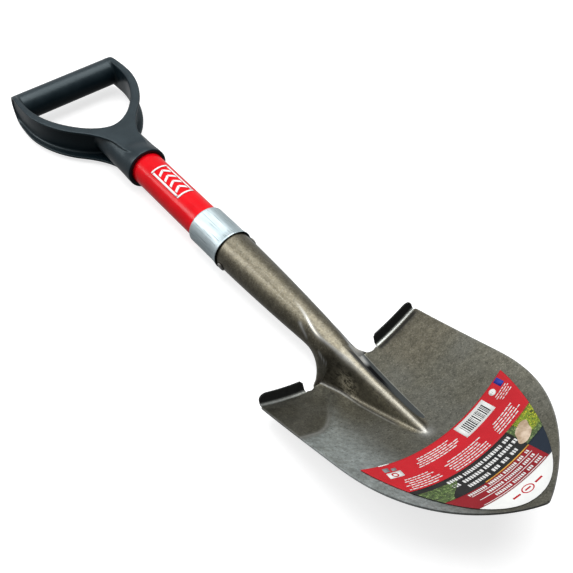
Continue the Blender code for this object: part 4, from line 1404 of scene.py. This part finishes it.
def label_bands(inks):
    """The ground of the label, from the tip of the blade upwards."""
    split, above = LABEL_SPLIT_X, LABEL_DARK + 1.2
    tip = label_region(LABEL_END_Y + 0.05, LABEL_MAROON, 26)
    base = label_sheet("label_tip_area", tip, inks["white"])
    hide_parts("blade_label")
    bands = (
        ("label_maroon_band", "maroon", label_region(LABEL_MAROON, LABEL_DARK, 14, right=split)),
        ("label_navy_panel", "navy", label_region(LABEL_MAROON, above, 12, left=split)),
        ("label_dark_band", "dark", label_region(LABEL_DARK, LABEL_RED, 14, right=split)),
        ("label_dark_side", "shade", label_region(above, LABEL_RED, 12, left=split)),
        ("label_red_band", "red", label_region(LABEL_RED, LABEL_TOP, 24)),
    )
    for name, ink, region in bands:
        label_sheet(name, region, inks[ink])


def label_pictures(inks, ink, over):
    """Loose blotches of leaves on both sides and a pale shape between them."""
    right = [(v, mix(44.0, 40.0, (v - 46.0) / 15.6), label_limit(v))
             for v in np.linspace(46.0, LABEL_RED, 9)]
    label_sheet("label_foliage_right", right, inks["leaves"], lift=ink, thickness=INK)
    left = [(v, -label_limit(v), mix(-40.0, -24.0, rise(v, LABEL_DARK, 16.0)))
            for v in np.linspace(LABEL_DARK, 57.0, 9)]
    label_sheet("label_foliage_left", left, inks["shade"], lift=ink, thickness=INK)
    blob = []
    for v in np.linspace(44.2, 58.0, 15):
        t = (v - 44.2) / 13.8
        middle = mix(35.5, 44.0, t)
        width = 7.6 * math.sqrt(max(0.02, 1.0 - (2.0 * t - 1.0) ** 2))
        width *= 1.0 + 0.12 * math.sin(9.0 * t)
        blob.append((v, middle - width, middle + width))
    label_sheet("label_pale_shape", blob, inks["pale"], lift=over, thickness=INK)


def label_lines(rng):
    """Blocks for the headlines, bars under them and dashes for the small print."""
    patches = []
    for low, left, right in ((55.6, -31.5, 31.0), (50.2, -32.0, 32.5), (44.6, -23.0, 27.0)):
        patches += word_rows(rng, left, right, low, low + 3.0, 1.2, 2.0, 0.7)
    for low, left, right in ((37.6, -31.0, 29.0), (32.4, -19.0, 29.5), (27.0, -17.0, 29.5)):
        patches += word_rows(rng, left, right, low, low + 2.3, 1.0, 1.6, 0.6)
    for left, right, low in ((-30.5, 30.0, 36.2), (-29.0, 30.5, 30.6), (-31.0, 31.0, 25.2)):
        patches.append((left, right, low, low + 0.5, 0.0))
    for left, right, top, count, pitch, height, ragged in (
            (-34.0, 9.0, 91.2, 5, 2.1, 0.9, 7.0), (-20.0, 22.0, 75.0, 6, 2.2, 0.9, 6.0),
            (29.0, 57.0, 74.2, 5, 2.2, 0.9, 5.0), (-59.0, -27.0, 75.6, 6, 2.3, 0.9, 6.0),
            (52.0, 67.0, 87.2, 4, 1.9, 0.7, 3.0)):
        patches += rules(rng, left, right, top, count, pitch, height, ragged)
    return patches + [(-57.5, -48.5, 96.2, 97.2, 0.0)]


def label_bars(rng, x=18.0, end=42.5):
    """Upright bars of uneven width, which stand for no number."""
    bars = []
    while x < end:
        wide = rng.choice((0.45, 0.7, 1.0))
        bars.append((x, x + wide, 83.2, 92.6, 0.0))
        x += wide + rng.choice((0.5, 0.8, 1.1))
    return bars


def make_label():
    rng = random.Random(7)
    inks = label_inks()
    ink = LABEL_LIFT + INK_LIFT
    over = ink + INK_LIFT
    red, white = inks["red"], inks["white"]
    label_bands(inks)
    label_pictures(inks, ink, over)
    ink_patches("label_print_white", label_lines(rng), white, ink)
    panels = [(14.0, 46.5, 81.4, 95.2, 0.0), (-60.5, -48.2, 80.0, 86.6, 1.5)]
    ink_patches("label_white_panels", panels, white, ink)
    ink_patches("label_dark_bars", label_bars(rng), inks["black"], over)
    blocks = [(-58.8, -54.0, 88.0, 92.8, 1.0), (-52.6, -48.6, 87.6, 91.0, 1.0)]
    ink_patches("label_grey_blocks", blocks, inks["grey"], ink)
    ink_patches("label_blue_block", [(61.8, 66.4, 88.6, 96.0, 0.0)], inks["blue"], ink)
    ring_patch("label_roundel", (55.2, 91.6), 2.8, 0.0, white, ink)
    ring_patch("label_badge_ring", (-54.0, 83.2), 2.6, 1.5, red, over)
    ink_patches("label_amber_line", [(-12.0, 33.0, 41.0, 41.9, 0.0)], inks["amber"], over)
    ring_patch("label_tip_ring", (1.5, 17.4), 5.4, 4.3, red, ink, squash=0.62)
    marks = [(-13.0, -6.0, 16.7, 18.1, 0.0), (9.0, 16.0, 16.7, 18.1, 0.0)]
    ink_patches("label_tip_marks", marks + [(-1.2, 4.2, 16.8, 18.0, 0.0)], red, ink)


def decal_strip(outline, lift, points, faces, steps=10):
    """One printed bar on the tube, as a quad (along, round) outline of four corners."""
    start = len(points)
    (a0, b0), (a1, b1), (a2, b2), (a3, b3) = outline
    for i in range(steps + 1):
        t = i / steps
        for a, b in ((mix(a0, a3, t), mix(b0, b3, t)), (mix(a1, a2, t), mix(b1, b2, t))):
            angle = b / TUBE_RADIUS
            radius = TUBE_RADIUS + lift
            points.append((radius * math.sin(angle), a, radius * math.cos(angle)))
    for i in range(steps):
        k = start + 2 * i
        faces.append((k, k + 1, k + 3, k + 2))


def make_decal():
    """Plain frame with chevrons, where the tube carries a printed mark."""
    white = Look("decal_film_look", colour=(0.82, 0.82, 0.82), roughness=0.3)
    wear = white.spread(white.noise(1.0, detail=4.0, roughness=0.8), 0.70, 0.76)
    white.set("Base Color", white.blend(wear, (0.93, 0.93, 0.93), (0.75, 0.30, 0.30)))
    white.bump(white.noise(0.5, detail=2.0), 0.01, 0.4)
    start, end, half, line = DECAL_START_Y, DECAL_END_Y, DECAL_HALF, DECAL_LINE
    strips = [((start, -half), (start + line, -half), (start + line, half), (start, half))]
    strips += [((end - line, -half), (end, -half), (end, half), (end - line, half))]
    low, high = start + line + 0.8, end - line - 0.8
    for side in (-1.0, 1.0):
        inner, outer = side * (half - line), side * half
        strips += [((low, inner), (low, outer), (high, outer), (high, inner))]
    for k in range(CHEVRONS):
        base = start + 5.6 + CHEVRON_PITCH * k
        for side in (-1.0, 1.0):
            tip, foot = (base + 4.2, side * 0.2), (base, side * (half - line - 1.0))
            strips += [(tip, (tip[0] + 3.4, tip[1]), (foot[0] + 3.4, foot[1]), foot)]
    points = []
    faces = []
    for outline in strips:
        decal_strip(outline, DECAL_LIFT, points, faces)
    decal = piece("handle_decal_print", points, faces, white.mat)
    thicken(decal, 0.08, offset=0.0)
    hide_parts("handle_decal")


# ---------------------------------------------------------------- studio

def stage_material(name, colour, roughness):
    look = Look(name, colour=colour)
    tone = look.noise(400.0, detail=2.0)
    look.set("Base Color", look.blend(tone, colour, tuple(c * 0.985 for c in colour)))
    look.set("Roughness", roughness)
    look.set("Emission Color", (1.0, 1.0, 1.0))
    look.set("Emission Strength", STAGE_GLOW)
    return look.mat


def make_stage():
    """A pale floor that runs up into a pale backdrop."""
    points = []
    faces = []
    profile = [(-4.0, 0.0)] + [(y, 0.0) for y in np.linspace(-3.0, 3.0, 7)]
    profile += [(3.0 + STAGE_BEND * math.sin(a), STAGE_BEND * (1.0 - math.cos(a)))
                for a in np.linspace(0.1, math.pi / 2, 12)]
    profile += [(3.0 + STAGE_BEND, 5.0)]
    for y, z in profile:
        for x in (-STAGE_HALF, STAGE_HALF):
            points.append((x / MM, y / MM + LENGTH / 2.0, z / MM - AXIS_HEIGHT))
    for k in range(len(profile) - 1):
        faces.append((2 * k, 2 * k + 1, 2 * k + 3, 2 * k + 2))
    mesh = bpy.data.meshes.new("studio_floor")
    mesh.from_pydata([place(p) for p in points], [], faces)
    mesh.materials.append(stage_material("studio_white", (0.50, 0.50, 0.50), 0.75))
    mesh.polygons.foreach_set("use_smooth", [True] * len(mesh.polygons))
    floor = bpy.data.objects.new("studio_floor", mesh)
    bpy.context.scene.collection.objects.link(floor)
    floor.visible_diffuse = False
    floor.visible_glossy = False


def add_light(name, kind, power):
    data = bpy.data.lights.new(name, kind)
    data.energy = power
    light = bpy.data.objects.new(name, data)
    bpy.context.scene.collection.objects.link(light)
    return light


def make_world():
    """A soft studio, bright behind and above; the camera itself sees a plain pale one."""
    world = bpy.data.worlds.new("studio_world")
    world.use_nodes = True
    tree = world.node_tree
    background = tree.nodes["Background"]
    coordinates = tree.nodes.new("ShaderNodeTexCoord")
    toward = tree.nodes.new("ShaderNodeVectorMath")
    toward.operation = "DOT_PRODUCT"
    toward.inputs[1].default_value = WORLD_BRIGHT_SIDE
    tree.links.new(coordinates.outputs["Generated"], toward.inputs[0])
    ramp = tree.nodes.new("ShaderNodeMapRange")
    ramp.interpolation_type = "SMOOTHSTEP"
    for socket, number in zip(ramp.inputs[1:5], (-0.6, 0.9, WORLD_DIM, WORLD_BRIGHT)):
        socket.default_value = number
    tree.links.new(toward.outputs["Value"], ramp.inputs[0])
    seen = tree.nodes.new("ShaderNodeLightPath")
    backdrop = tree.nodes.new("ShaderNodeMath")
    backdrop.operation = "MAXIMUM"
    tree.links.new(seen.outputs["Is Camera Ray"], backdrop.inputs[0])
    tree.links.new(ramp.outputs["Result"], backdrop.inputs[1])
    tree.links.new(backdrop.outputs[0], background.inputs["Strength"])
    background.inputs["Color"].default_value = WORLD_COLOUR
    bpy.context.scene.world = world


def make_lights():
    """A wide overhead key and an upright strip at the back left."""
    key = add_light("key_soft_sun", "SUN", KEY_POWER)
    key.data.angle = KEY_ANGLE
    key.rotation_euler = Vector(KEY_FROM).to_track_quat("Z", "Y").to_euler()
    strip = add_light("back_left_strip", "AREA", STRIP_POWER)
    strip.data.shape = "RECTANGLE"
    strip.data.size, strip.data.size_y = STRIP_SIZE
    strip.location = STRIP_AT
    aim = Vector(STRIP_AIM) - Vector(STRIP_AT)
    strip.rotation_euler = aim.to_track_quat("-Z", "Y").to_euler()


def make_camera():
    data = bpy.data.cameras.new("photo_camera")
    data.lens = CAMERA_LENS
    data.sensor_width = CAMERA_SENSOR
    data.clip_start = 0.01
    data.clip_end = 50.0
    camera = bpy.data.objects.new("photo_camera", data)
    right = Vector((math.cos(CAMERA_TURN), math.sin(CAMERA_TURN), 0.0))
    back = Vector((math.sin(CAMERA_TURN) * math.cos(CAMERA_TILT),
                   -math.cos(CAMERA_TURN) * math.cos(CAMERA_TILT), math.sin(CAMERA_TILT)))
    up = back.cross(right)
    turn = Matrix((right, up, back)).transposed()
    camera.matrix_world = Matrix.Translation(CAMERA_AT) @ turn.to_4x4()
    bpy.context.scene.collection.objects.link(camera)
    bpy.context.scene.camera = camera


# ---------------------------------------------------------------- the scene

def finish_cad_nodes():
    """The pieces that stay as CAD get their own look."""
    wood = wood_look()
    for name in ("socket_plug", "grip_plug"):
        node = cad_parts[name]
        node.data.materials.clear()
        node.data.materials.append(wood)


make_camera()
make_world()
make_lights()
make_stage()
make_head()
make_ferrule()
make_tube()
make_rivet()
make_grip()
make_label()
make_decal()
finish_cad_nodes()
bpy.context.scene.view_settings.view_transform = "Standard"
